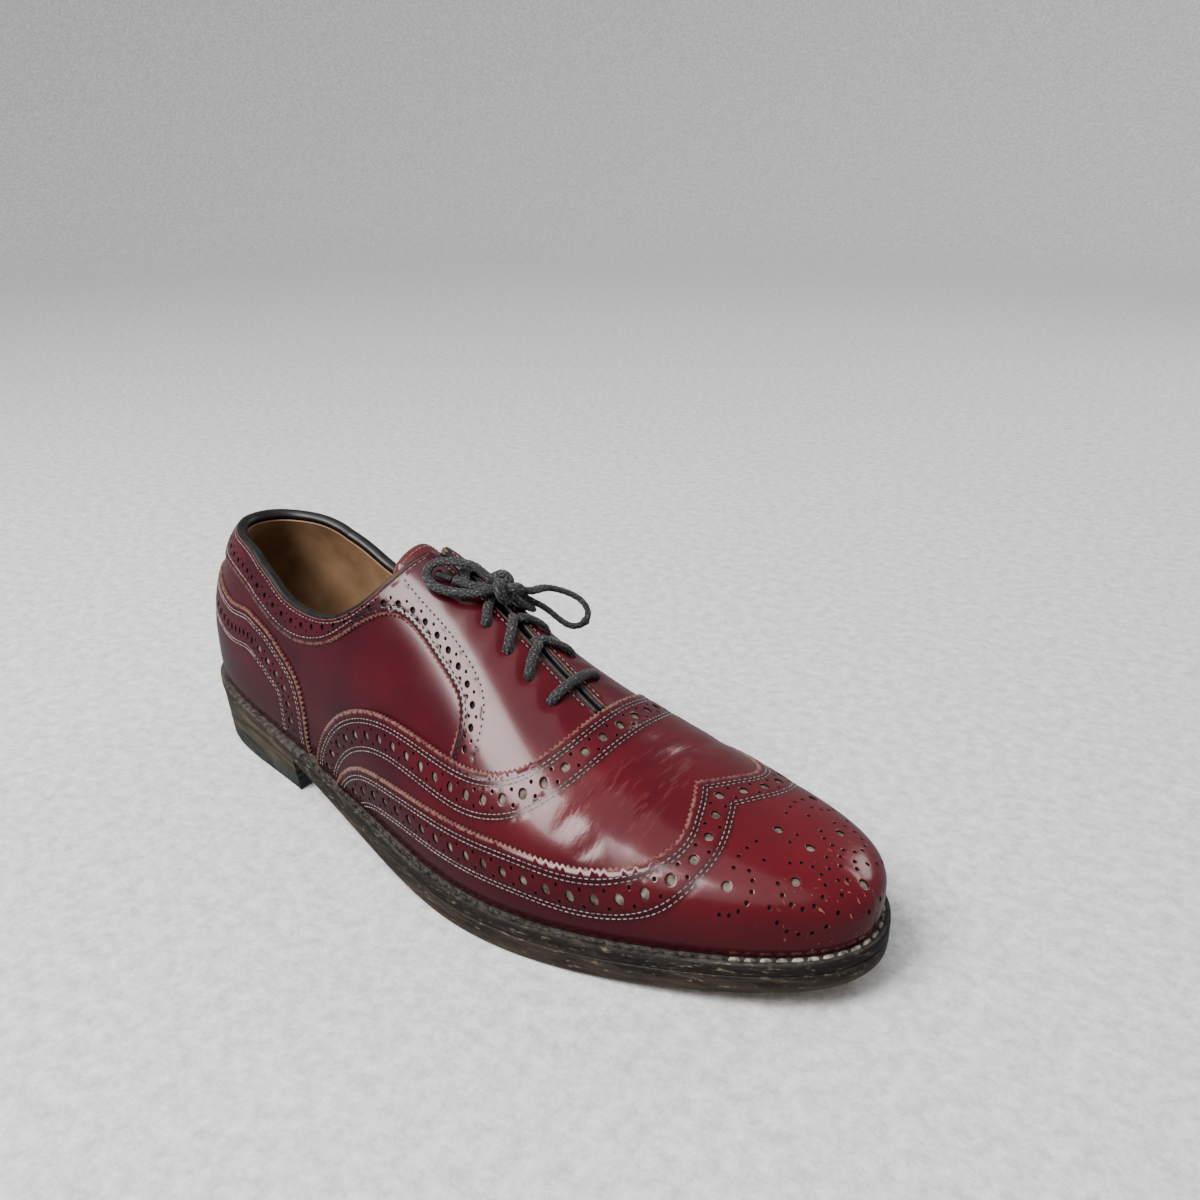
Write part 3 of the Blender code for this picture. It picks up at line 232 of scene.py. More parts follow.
# ---------------------------------------------------------------- the last
class Last:
    """Skin of the last as ribs from the ridge to the feather line, and its flat pattern."""
    RIBS, FAN, STEPS, SAMPLES = 361, 121, 80, 181

    def __init__(self):
        x = np.linspace(HEEL_X, TOE_X, self.RIBS)
        self.ridge = np.c_[x, profile(RIDGE_Y, x), profile(RIDGE_Z, x)]
        self.ridge_p = run_of(self.ridge)
        self.toe_p = self.ridge_p[-1]
        self.toe_slope = (self.ridge[-1, 2] - self.ridge[-2, 2]) / (x[1] - x[0])
        self.sides = {side: self.build_side(side) for side in (-1, 1)}

    def fan(self, centre, start, side, angles):
        """Ribs round one end of the ridge, which meet the feather line at the given angles."""
        rel = FEATHER - centre[:2]
        bearing = np.arctan2(rel[:, 1] * side, rel[:, 0])
        order = np.argsort(bearing)
        reach = np.interp(angles, bearing[order], np.linalg.norm(rel, axis=1)[order], period=2 * math.pi)
        foot = centre[:2] + np.c_[reach * np.cos(angles), side * reach * np.sin(angles)]
        return foot, np.repeat(centre[None], len(angles), 0), angles, np.full(len(angles), start)

    def build_side(self, side):
        edge = FEATHER[FEATHER[:, 1] * side > 0]
        edge = edge[np.argsort(edge[:, 0])]
        x = self.ridge[:, 0]
        middle = (np.c_[x, np.interp(x, edge[:, 0], edge[:, 1])], self.ridge,
                  np.full(self.RIBS, math.pi / 2), self.ridge_p)
        heel = self.fan(self.ridge[0], 0.0, side, np.linspace(math.pi, math.pi / 2, self.FAN)[:-1])
        toe = self.fan(self.ridge[-1], self.toe_p, side, np.linspace(math.pi / 2, 0, self.FAN)[1:])
        foot, root, angle, start = [np.concatenate(parts) for parts in zip(heel, middle, toe)]
        ribs = self.rib_curves(foot, root, angle, side)
        step = np.linalg.norm(np.diff(ribs, axis=1), axis=2)
        run = np.concatenate([np.zeros((len(ribs), 1)), np.cumsum(step, axis=1)], axis=1)
        spaced = np.empty((len(ribs), self.SAMPLES, 3))
        for i, rib in enumerate(ribs):
            at = np.linspace(0, run[i, -1], self.SAMPLES)
            for axis in range(3):
                spaced[i, :, axis] = np.interp(at, run[i], rib[:, axis])
        return {"ribs": spaced, "length": run[:, -1], "angle": angle, "start": start}

    def rib_curves(self, foot, root, angle, side):
        plan = foot - root[:, :2]
        reach = np.linalg.norm(plan, axis=1)
        out = plan / reach[:, None]
        x = foot[:, 0]
        low = feather_z(x)
        wide_z = low + profile(WIDEST_RISE, x)
        over = profile(OVERHANG[side], x)
        wide = reach + over
        slope = self.toe_slope * np.cos(angle) * (angle < math.pi / 2)
        top_pull, side_pull = profile(FULLNESS_TOP, x), profile(FULLNESS_SIDE, x)

        def at(distance, z):
            return np.c_[root[:, :2] + out * distance[:, None], z]
        upper = (root, at(top_pull * wide, root[:, 2] + slope * top_pull * wide),
                 at(wide, wide_z + side_pull * (root[:, 2] - wide_z)), at(wide, wide_z))
        lower = (upper[3], at(wide, wide_z - 0.55 * (wide_z - low)),
                 at(reach + 0.6 * over + 0.8, low + 0.35 * (wide_z - low)), at(reach, low))
        t = np.linspace(0, 1, self.STEPS)[:, None, None]
        arcs = [(1 - t) ** 3 * a + 3 * (1 - t) ** 2 * t * b + 3 * (1 - t) * t * t * c + t ** 3 * d
                for a, b, c, d in (upper, lower)]
        return np.concatenate([arcs[0], arcs[1][1:]]).transpose(1, 0, 2)

    def point(self, pattern):
        """Skin point for each pattern point (p, q)."""
        pattern = np.asarray(pattern, float).reshape(-1, 2)
        result = np.empty((len(pattern), 3))
        for side, data in self.sides.items():
            mine = (pattern[:, 1] < 0) if side < 0 else (pattern[:, 1] >= 0)
            p, q = pattern[mine, 0], np.abs(pattern[mine, 1])
            base = np.clip(p, 0.0, self.toe_p)
            bearing = np.arctan2(q, p - base)
            bearing[(p >= 0) & (p <= self.toe_p)] = math.pi / 2
            heel = np.interp(-bearing, -data["angle"][:self.FAN], np.arange(self.FAN))
            toe_first = self.FAN + self.RIBS - 2
            toe = np.interp(-bearing, -data["angle"][toe_first:], np.arange(toe_first, len(data["angle"])))
            middle = np.interp(p, self.ridge_p, np.arange(self.FAN - 1, self.FAN - 1 + self.RIBS))
            rib = np.where(p < 0, heel, np.where(p > self.toe_p, toe, middle))
            length = np.interp(rib, np.arange(len(data["length"])), data["length"])
            along = np.hypot(q, p - base) / length * (self.SAMPLES - 1)
            i = np.clip(rib.astype(int), 0, len(data["length"]) - 2)
            j = np.clip(along.astype(int), 0, self.SAMPLES - 2)
            u, v = (rib - i)[:, None], (along - j)[:, None]
            g = data["ribs"]
            result[mine] = ((g[i, j] * (1 - u) + g[i + 1, j] * u) * (1 - v)
                            + (g[i, j + 1] * (1 - u) + g[i + 1, j + 1] * u) * v)
        return result

    def feather_run(self, side, p_from, p_to, trim, spacing=2.0):
        """Pattern points along the feather line, trimmed back from it."""
        data = self.sides[side]
        reach = data["length"] - trim
        line = np.c_[data["start"] + np.cos(data["angle"]) * reach, np.sin(data["angle"]) * reach * side]
        run = run_of(line)
        ends = np.interp([p_from, p_to], line[:, 0], run)
        count = max(2, int(abs(ends[1] - ends[0]) / spacing) + 1)
        return read_at(line, run, np.linspace(ends[0], ends[1], count))


LAST = Last()


def lift(pattern, height):
    """Points over the skin at a height, which may be a function of the pattern, and their normals."""
    pattern = np.asarray(pattern, float).reshape(-1, 2)
    step = 0.7
    offsets = ((0, 0), (step, 0), (-step, 0), (0, step), (0, -step))
    lifted = []
    for offset in offsets:
        spots = pattern + offset
        along = LAST.point(spots + (step, 0)) - LAST.point(spots - (step, 0))
        across = LAST.point(spots + (0, step)) - LAST.point(spots - (0, step))
        normal = unit(np.cross(along, across))
        tall = height(spots) if callable(height) else np.full(len(spots), float(height))
        lifted.append(LAST.point(spots) + normal * tall[:, None])
    return lifted[0], unit(np.cross(lifted[1] - lifted[2], lifted[3] - lifted[4]))


# ---------------------------------------------------------------- meshes
EDGE_TILT, HOLE_TILT = 0.6, 0.5               # how far shading leans out at cut edges and hole rims
EDGE_SOFT = 0.25                              # how far a cut edge is rounded down
CLEAR = 0.4                                   # least distance of other mesh points from an edge


def make(name, points, faces, mats, indices=None, sharp=35.0):
    """A smooth-shaded object from points in millimetres."""
    mesh = bpy.data.meshes.new(name)
    mesh.from_pydata(place(points).tolist(), [], faces)
    mesh.shade_smooth()
    mesh.set_sharp_from_angle(angle=math.radians(sharp))
    for mat in (mats if isinstance(mats, (list, tuple)) else [mats]):
        mesh.materials.append(mat)
    if indices is not None:
        mesh.polygons.foreach_set("material_index", np.asarray(indices, np.int32))
    obj = bpy.data.objects.new(name, mesh)
    bpy.context.collection.objects.link(obj)
    return obj


def attribute(obj, name, values):
    layer = obj.data.attributes.new(name, "FLOAT", "POINT")
    layer.data.foreach_set("value", np.asarray(values, np.float32))


def inside(points, ring):
    """Which points lie inside a closed ring."""
    result = np.zeros(len(points), bool)
    x1, y1 = np.roll(ring[:, 0], -1), np.roll(ring[:, 1], -1)
    for first in range(0, len(points), 4000):
        x, y = points[first:first + 4000, :1], points[first:first + 4000, 1:]
        crosses = (ring[:, 1] > y) != (y1 > y)
        with np.errstate(divide="ignore", invalid="ignore"):
            at = ring[:, 0] + (y - ring[:, 1]) * (x1 - ring[:, 0]) / (y1 - ring[:, 1])
        result[first:first + 4000] = np.sum(crosses & (x < at), axis=1) % 2
    return result


def flat_tree(points):
    """Nearest-point search over flat points."""
    tree = KDTree(len(points))
    for i, spot in enumerate(points):
        tree.insert((spot[0], spot[1], 0), i)
    tree.balance()
    return tree


def distances(points, others):
    """Distance from each point to the nearest of the others."""
    tree = others if isinstance(others, KDTree) else flat_tree(others)
    return np.array([tree.find((spot[0], spot[1], 0))[2] for spot in points])


def ring_faces(low, high, count, gap=0):
    """Quads between two rings of points that start at low and high; a gap of 1 leaves them open."""
    return [(low + i, low + (i + 1) % count, high + (i + 1) % count, high + i) for i in range(count - gap)]


def triangulate(outline, holes, lines, spacing):
    """Flat triangles inside an outline, with round holes (p, q, r) and points along lines.

    Returns the points, the triangles, and for each point the direction out of the piece (0 inside).
    """
    rings, collars = [outline], []
    outward = [outline - inset(outline, 1.0)]
    for p, q, r in holes:
        turn = np.linspace(0, 2 * math.pi, max(9, int(r * 9)), endpoint=False)
        arm = np.c_[np.cos(turn), np.sin(turn)]
        rings.append(np.array((p, q)) + r * arm)
        outward.append(-arm * HOLE_TILT)
        collars.append(np.array((p, q)) + (r + CLEAR) * arm)
    edges, first = [], 0
    for ring in rings:
        edges += [(first + i, first + (i + 1) % len(ring)) for i in range(len(ring))]
        first += len(ring)
    fixed = np.vstack(rings)
    low, high = outline.min(0), outline.max(0)
    rows = np.arange(low[1], high[1], spacing * math.sqrt(3) / 2)
    columns = [np.arange(low[0] + spacing * 0.5 * (i % 2), high[0], spacing) for i in range(len(rows))]
    grid = np.vstack([np.c_[x, np.full(len(x), y)] for x, y in zip(columns, rows)])
    if lines:
        seams = np.vstack(lines)
        seams = seams[inside(seams, outline)]
        seams = seams[distances(seams, fixed) > CLEAR]
    else:
        seams = np.empty((0, 2))
    if collars:
        collars = np.vstack(collars)
        seams = np.vstack([seams, collars[inside(collars, outline)]])
    grid = grid[inside(grid, outline)]
    grid = grid[distances(grid, np.vstack([fixed, seams])) > 0.62 * spacing]
    spots = np.vstack([fixed, seams, grid])
    free = np.ones(len(spots), bool)
    for p, q, r in holes:
        free &= np.hypot(spots[:, 0] - p, spots[:, 1] - q) > r * 0.98 + 1e-6
    free[:len(fixed)] = True
    spots = spots[free]
    verts, _, faces, source, _, _ = delaunay_2d_cdt([Vector(s) for s in spots], edges, [], 1, 1e-6)
    verts = np.array([tuple(v) for v in verts])
    out = np.zeros((len(verts), 2))
    directions = np.vstack(outward)
    for i, origin in enumerate(source):
        if origin and origin[0] < len(fixed):
            out[i] = directions[origin[0]]
    faces = np.array([list(f) for f in faces if len(f) == 3])
    middle = verts[faces].mean(axis=1)
    keep = inside(middle, outline)
    for p, q, r in holes:
        keep &= np.hypot(middle[:, 0] - p, middle[:, 1] - q) > r * 0.93
    faces = faces[keep]
    a, b, c = verts[faces[:, 0]], verts[faces[:, 1]], verts[faces[:, 2]]
    turn = (b[:, 0] - a[:, 0]) * (c[:, 1] - a[:, 1]) - (b[:, 1] - a[:, 1]) * (c[:, 0] - a[:, 0])
    faces[turn < 0] = faces[turn < 0][:, ::-1]
    used = np.unique(faces)
    index = np.full(len(verts), -1)
    index[used] = np.arange(len(used))
    return verts[used], index[faces], out[used]


def panel(name, outline, holes, height, mats, lines=(), spacing=1.7, thickness=LEATHER):
    """A piece of leather cut from the pattern, laid on the last, with softened cut edges.

    mats are the face and the cut edge. The attribute `edge` fades from 1 at a cut edge to 0 inside it.
    """
    flat, faces, out = triangulate(outline, holes, lines, spacing)
    at_edge = np.abs(out).sum(axis=1) > 0
    top, normal = lift(flat, height)
    tilt = np.linalg.norm(out, axis=1)
    beside, _ = lift(flat + out, height)
    aside = beside - top
    aside[at_edge] *= (tilt[at_edge] / np.linalg.norm(aside[at_edge], axis=1))[:, None]
    bottom = top - normal * thickness
    top = top - normal * (EDGE_SOFT * tilt)[:, None]
    shade = unit(normal + aside * EDGE_TILT)
    count = len(flat)
    pairs = {(a, b) for f in faces.tolist() for a, b in zip(f, f[1:] + f[:1])}
    walls = [(a, a + count, b + count, b) for a, b in sorted(pairs) if (b, a) not in pairs]
    under = (faces[:, ::-1] + count).tolist()
    every = faces.tolist() + under + walls
    punched = [2 if 0 < tilt[wall[0]] < 0.9 else 1 for wall in walls]
    indices = [0] * (2 * len(faces)) + punched
    obj = make(name, np.vstack([top, bottom]), every, [*mats, bpy.data.materials["hole_shadow"]], indices)
    mesh = obj.data
    custom = np.zeros((len(mesh.loops), 3))
    custom[:3 * len(faces)] = shade[faces.ravel()]
    mesh.normals_split_custom_set(custom.tolist())
    none = np.zeros(len(flat))
    edge = np.clip(1 - distances(flat, outline) / 1.6, 0, 1)
    # Mask along the rows of stitches, which carries the painted shade laid along them.
    stitch_shade = np.exp(-(distances(flat, np.vstack(lines)) / 0.7) ** 2) if len(lines) else none
    crease = crease_nearness(flat) if name == "vamp" else none
    for layer, values in (("edge", edge), ("stitch_shade", stitch_shade), ("crease", crease)):
        attribute(obj, layer, np.tile(values, 2))
    return obj


# ---------------------------------------------------------------- pattern helpers
def half_line(points, side, offset=0.0, spacing=0.5, low=None):
    """Pattern line of one half, moved in from its edge and put on one side."""
    line = through(points, 0.5)
    line = push(line, offset)
    line = line[line[:, 1] > -0.01] * (1, side)
    if low is not None:
        data = LAST.feather_run(side, -FAR, FAR, low, 1.0)
        order = np.argsort(data[:, 0])
        limit = np.interp(line[:, 0], data[order, 0], np.abs(data[order, 1]))
        line = line[np.abs(line[:, 1]) < limit]
    return even(line, spacing)


def over_ridge(points, offset=0.0, spacing=0.5, low=None):
    """The lateral half of a line joined over the ridge to its medial half."""
    lateral = half_line(points, -1, offset, 0.5, low)
    medial = half_line(points, 1, offset, 0.5, low)[::-1]
    if abs(lateral[0, 1]) < abs(lateral[-1, 1]):
        lateral, medial = lateral[::-1], medial[::-1]
    return even(np.vstack([lateral, medial]), spacing)


def gimped(line):
    """Zigzag cut edge along a line."""
    points = even(line, GIMP_PITCH / 2)
    wave = np.where(np.arange(len(points)) % 2, 0.5, -0.5) * GIMP_DEPTH
    wave[0] = wave[-1] = 0
    return push(points, wave)


def ring_of(*runs):
    """Counter-clockwise outline from runs of points, without doubled points."""
    points = np.vstack(runs)
    keep = [0]
    for i in range(1, len(points)):
        if np.linalg.norm(points[i] - points[keep[-1]]) > 0.25:
            keep.append(i)
    if np.linalg.norm(points[keep[-1]] - points[0]) < 0.25:
        keep.pop()
    ring = points[keep]
    area = np.sum(ring[:, 0] * np.roll(ring[:, 1], -1) - np.roll(ring[:, 0], -1) * ring[:, 1])
    return ring if area > 0 else ring[::-1]


def punch_row(line, pitch, big, small, apart):
    """Big holes along a line with a pair of small ones between each two."""
    run = run_of(line)
    count = max(2, int(round(run[-1] / pitch)) + 1)
    holes = []
    at = np.linspace(0, run[-1], 2 * count - 1)
    spots = read_at(line, run, at)
    tangent = unit(np.gradient(spots, axis=0))
    for i, (spot, along) in enumerate(zip(spots, tangent)):
        if i % 2 == 0:
            holes.append((*spot, big))
        else:
            across = np.array((-along[1], along[0])) * apart
            holes += [(*(spot + across), small), (*(spot - across), small)]
    return holes


def bend(obj):
    """Bakes the transform of leather, stitches and sole that cross the ball of the foot into their meshes."""
    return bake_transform(obj)


def stitches(name, lines, height, mat, length=STITCH_LENGTH, radius=STITCH_RADIUS, rise=0.0):
    """Threads along pattern lines: a small rounded bar for each stitch."""
    spots, directions = [], []
    for line in lines:
        run = run_of(line)
        at = np.arange(STITCH_PITCH / 2, run[-1], STITCH_PITCH)
        spots.append(read_at(line, run, at))
        directions.append(read_at(line, run, at + 0.3) - spots[-1])
    spots, directions = np.vstack(spots), np.vstack(directions)
    centre, normal = lift(spots, height)
    forward, _ = lift(spots + directions, height)
    return bars(name, centre + normal * rise, forward - centre, normal, length, radius, mat)


def bars(name, centre, along, normal, length, radius, mat):
    """Small rounded bars, one for each centre."""
    along = unit(along)
    across = unit(np.cross(normal, along))
    sides = 6
    stations = [(-0.5, 0.35), (-0.38, 0.85), (0.0, 1.0), (0.38, 0.85), (0.5, 0.35)]
    turn = np.linspace(0, 2 * math.pi, sides, endpoint=False)
    shape = []
    for t, swell in stations:
        sink = -radius * (1 - swell)
        for a in turn:
            shape.append((t * length, math.cos(a) * radius * swell, math.sin(a) * radius * swell + sink))
    shape = np.array(shape)
    faces = [tuple(reversed(range(sides)))]
    for k in range(len(stations) - 1):
        faces += ring_faces(k * sides, (k + 1) * sides, sides)
    faces.append(tuple(range(len(shape) - sides, len(shape))))
    points, all_faces = [], []
    for i in range(len(centre)):
        points.append(centre[i] + shape[:, :1] * along[i] + shape[:, 1:2] * across[i]
                      + shape[:, 2:] * normal[i])
        base = i * len(shape)
        all_faces += [tuple(base + k for k in f) for f in faces]
    return make(name, np.vstack(points), all_faces, mat, sharp=180)


def hole_floor(name, holes, height, mats):
    """Discs that close the punched holes a little way down: the first material is for the big ones."""
    points, faces, indices = [], [], []
    sides, big = 10, 1.0
    for p, q, r in holes:
        turn = np.linspace(0, 2 * math.pi, sides, endpoint=False)
        ring = np.array((p, q)) + r * 1.08 * np.c_[np.cos(turn), np.sin(turn)]
        first = len(points)
        points += [(p, q)] + list(map(tuple, ring))
        faces += [(first, first + 1 + i, first + 1 + (i + 1) % sides) for i in range(sides)]
        indices += [0 if r > big else 1] * sides
    spots, _ = lift(np.array(points), height)
    return make(name, spots, faces, mats, indices)


# ---------------------------------------------------------------- materials
def new_material(name, values):
    mat = bpy.data.materials.new(name)
    mat.use_nodes = True
    shader = mat.node_tree.nodes["Principled BSDF"]
    for socket, value in values.items():
        shader.inputs[socket].default_value = value
    return mat, mat.node_tree, shader


def node(tree, kind, **settings):
    made = tree.nodes.new(kind)
    for key, value in settings.items():
        setattr(made, key, value)
    return made


def noise(tree, scale, detail=3.0, stretch=None, rough=0.5):
    """Noise over the object's own coordinates; scale is in blotches a metre."""
    coords = node(tree, "ShaderNodeTexCoord")
    source = coords.outputs["Object"]
    if stretch:
        mapping = node(tree, "ShaderNodeMapping")
        mapping.inputs["Scale"].default_value = stretch
        tree.links.new(source, mapping.inputs["Vector"])
        source = mapping.outputs["Vector"]
    texture = node(tree, "ShaderNodeTexNoise")
    texture.inputs["Scale"].default_value = scale
    texture.inputs["Detail"].default_value = detail
    texture.inputs["Roughness"].default_value = rough
    tree.links.new(source, texture.inputs["Vector"])
    return texture.outputs["Fac"]


def ranged(tree, value, low, high, to_low=0.0, to_high=1.0):
    made = node(tree, "ShaderNodeMapRange")
    for key, number in zip(("From Min", "From Max", "To Min", "To Max"), (low, high, to_low, to_high)):
        made.inputs[key].default_value = number
    tree.links.new(value, made.inputs["Value"])
    return made.outputs["Result"]


def mixed(tree, factor, first, second):
    """Colour mix; each side is a colour or a socket."""
    made = node(tree, "ShaderNodeMix", data_type="RGBA")
    for socket, value in ((made.inputs[0], factor), (made.inputs[6], first), (made.inputs[7], second)):
        if isinstance(value, (tuple, list)):
            socket.default_value = (*value, 1)
        elif isinstance(value, (int, float)):
            socket.default_value = value
        else:
            tree.links.new(value, socket)
    return made.outputs[2]


def maths(tree, operation, first, second):
    made = node(tree, "ShaderNodeMath", operation=operation)
    for socket, value in zip(made.inputs, (first, second)):
        if isinstance(value, (int, float)):
            socket.default_value = value
        else:
            tree.links.new(value, socket)
    return made.outputs[0]


def bumped(tree, shader, layers):
    """Stack of bumps: (height socket, distance in mm, strength)."""
    normal = None
    for height, distance, strength in layers:
        made = node(tree, "ShaderNodeBump")
        made.inputs["Distance"].default_value = distance * MM
        made.inputs["Strength"].default_value = strength
        tree.links.new(height, made.inputs["Height"])
        if normal is not None:
            tree.links.new(normal, made.inputs["Normal"])
        normal = made.outputs["Normal"]
    tree.links.new(normal, shader.inputs["Normal"])


def place_in_shoe(tree):
    """The object's own coordinates, split into X, Y and Z (metres)."""
    coords = node(tree, "ShaderNodeTexCoord")
    split = node(tree, "ShaderNodeSeparateXYZ")
    tree.links.new(coords.outputs["Object"], split.inputs[0])
    return split.outputs


def layer_value(tree, name):
    """A mesh's own layer of values, as attribute() stores it."""
    return node(tree, "ShaderNodeAttribute", attribute_name=name).outputs["Fac"]


def upper_leather(name, dark, bright):
    """Polished calf: darker at the heel, redder at the toe, with pores, fine wrinkles and worn cut edges, and
    painted shade low on the sides and along the rows of stitches.
    """
    mat, tree, shader = new_material(name, {"Roughness": 0.25, "Coat Weight": 0.2, "Coat Roughness": 0.12,
                                            "Specular IOR Level": 0.33, "IOR": 1.5,
                                            "Specular Tint": (1.0, 0.8, 0.8, 1)})
    spot = place_in_shoe(tree)
    lengthwise = ranged(tree, spot["X"], -0.02, 0.14)
    patches = noise(tree, 28.0, 3.0)
    blend = maths(tree, "ADD", maths(tree, "MULTIPLY", lengthwise, 0.8),
                  maths(tree, "MULTIPLY", ranged(tree, patches, 0.35, 0.65), 0.3))
    colour = mixed(tree, blend, dark, bright)
    # Painted shade: the colour is darkened towards the ground, where the lower sides face away from the
    # light.
    low = ranged(tree, spot["Z"], 0.016, 0.052, 0.75, 0.0)
    colour = mixed(tree, low, colour, tuple(c * 0.45 for c in dark))
    mottle = noise(tree, 160.0, 4.0)
    colour = mixed(tree, ranged(tree, mottle, 0.4, 0.8, 0.0, 0.14), colour, tuple(c * 0.55 for c in dark))
    scuffs = noise(tree, 420.0, 2.0, (1.0, 3.0, 1.0))
    toe = ranged(tree, spot["X"], 0.125, 0.147)
    chips = maths(tree, "MULTIPLY", ranged(tree, scuffs, 0.68, 0.71), toe)
    colour = mixed(tree, maths(tree, "MULTIPLY", chips, 0.6), colour, (0.5, 0.22, 0.13))
    frayed = maths(tree, "ADD", layer_value(tree, "edge"),
                   maths(tree, "MULTIPLY", noise(tree, 900.0, 3.0), 0.5))
    colour = mixed(tree, ranged(tree, frayed, 0.95, 1.3), colour, (0.2, 0.095, 0.075))
    # Painted shade: the leather is darkened to near black along the rows of stitches, where their dents fall
    # in shade.
    stitch_shade = maths(tree, "MULTIPLY", layer_value(tree, "stitch_shade"), 0.75)
    colour = mixed(tree, stitch_shade, colour, (0.012, 0.002, 0.003))
    tree.links.new(ranged(tree, noise(tree, 60.0, 3.0), 0.3, 0.7, 0.19, 0.27), shader.inputs["Roughness"])
    crease = layer_value(tree, "crease")
    lines = noise(tree, 620.0, 3.0, (1.0, 0.13, 0.4))
    wrinkles = maths(tree, "MULTIPLY", crease, lines)
    cracked = maths(tree, "MULTIPLY", crease, ranged(tree, lines, 0.58, 0.64, 0.0, 0.22))
    tree.links.new(mixed(tree, cracked, colour, (0.22, 0.08, 0.065)), shader.inputs["Base Color"])
    bumped(tree, shader, [(noise(tree, 1500.0, 2.0), 0.05, 0.35), (wrinkles, 0.8, 0.4),
                          (noise(tree, 230.0, 4.0, (1.0, 0.5, 1.0)), 0.1, 0.2)])
    return mat


def raw_edge():
    """Fibres of the leather where it is cut."""
    mat, tree, shader = new_material("cut_leather_edge", {"Roughness": 0.85})
    fibres = ranged(tree, noise(tree, 900.0, 3.0), 0.35, 0.7)
    colour = mixed(tree, fibres, (0.07, 0.038, 0.032), (0.26, 0.155, 0.12))
    tree.links.new(colour, shader.inputs["Base Color"])
    bumped(tree, shader, [(noise(tree, 2200.0, 2.0), 0.15, 0.8)])
    return mat


def plain(name, low, high, roughness, scale, bump_scale=1200.0, bump=0.1, coat=0.0, detail=4.0,
          stretch=None):
    """A two-tone material with surface grain."""
    mat, tree, shader = new_material(name, {"Roughness": roughness, "Coat Weight": coat,
                                            "Coat Roughness": 0.25, "Specular IOR Level": 0.3})
    colour = mixed(tree, ranged(tree, noise(tree, scale, detail, stretch), 0.35, 0.66), low, high)
    tree.links.new(colour, shader.inputs["Base Color"])
    bumped(tree, shader, [(noise(tree, bump_scale, 3.0, stretch), bump, 0.7)])
    return mat


def sole_edge():
    """Worn dark edge dressing with tan streaks near the ground."""
    mat, tree, shader = new_material("sole_edge", {"Roughness": 0.55, "Specular IOR Level": 0.3})
    low = layer_value(tree, "low")
    streaks = noise(tree, 130.0, 5.0, (0.35, 0.35, 2.6), 0.65)
    worn = maths(tree, "ADD", maths(tree, "MULTIPLY", low, 0.4), maths(tree, "MULTIPLY", streaks, 0.9))
    colour = mixed(tree, ranged(tree, worn, 0.5, 0.95), (0.009, 0.0065, 0.0055), (0.085, 0.058, 0.036))
    specks = ranged(tree, noise(tree, 700.0, 4.0), 0.5, 0.72, 0, 0.55)
    colour = mixed(tree, specks, colour, (0.03, 0.024, 0.019))
    scratches = noise(tree, 420.0, 4.0, (0.5, 0.5, 1.8), 0.7)
    colour = mixed(tree, ranged(tree, scratches, 0.58, 0.68, 0.0, 0.7), colour, (0.2, 0.15, 0.105))
    tree.links.new(colour, shader.inputs["Base Color"])
    tree.links.new(ranged(tree, streaks, 0.3, 0.7, 0.4, 0.75), shader.inputs["Roughness"])
    bumped(tree, shader, [(noise(tree, 320.0, 5.0, (0.4, 0.4, 2.2)), 0.25, 0.6),
                          (noise(tree, 1500.0, 3.0), 0.12, 0.6)])
    return mat


def lace_cloth():
    """Black cotton with grey flecks on the strands and painted shade in the grooves between them; the braid
    itself is in the mesh.
    """
    mat, tree, shader = new_material("braided_lace", {"Roughness": 0.8, "Sheen Weight": 0.2,
                                                      "Sheen Roughness": 0.5,
                                                      "Sheen Tint": (0.5, 0.5, 0.5, 1)})
    groove = layer_value(tree, "braid")
    flecks = noise(tree, 1600.0, 3.0)
    high = mixed(tree, ranged(tree, flecks, 0.5, 0.66), (0.006, 0.006, 0.007), (0.13, 0.13, 0.128))
    # Painted shade: the grooves between the braid's strands are near black; the grey flecks stay on the
    # raised strands.
    raised = ranged(tree, groove, 0.45, 0.9)
    tree.links.new(mixed(tree, raised, (0.0025, 0.0025, 0.003), high), shader.inputs["Base Color"])
    bumped(tree, shader, [(noise(tree, 3200.0, 2.0), 0.12, 0.8)])
    return mat


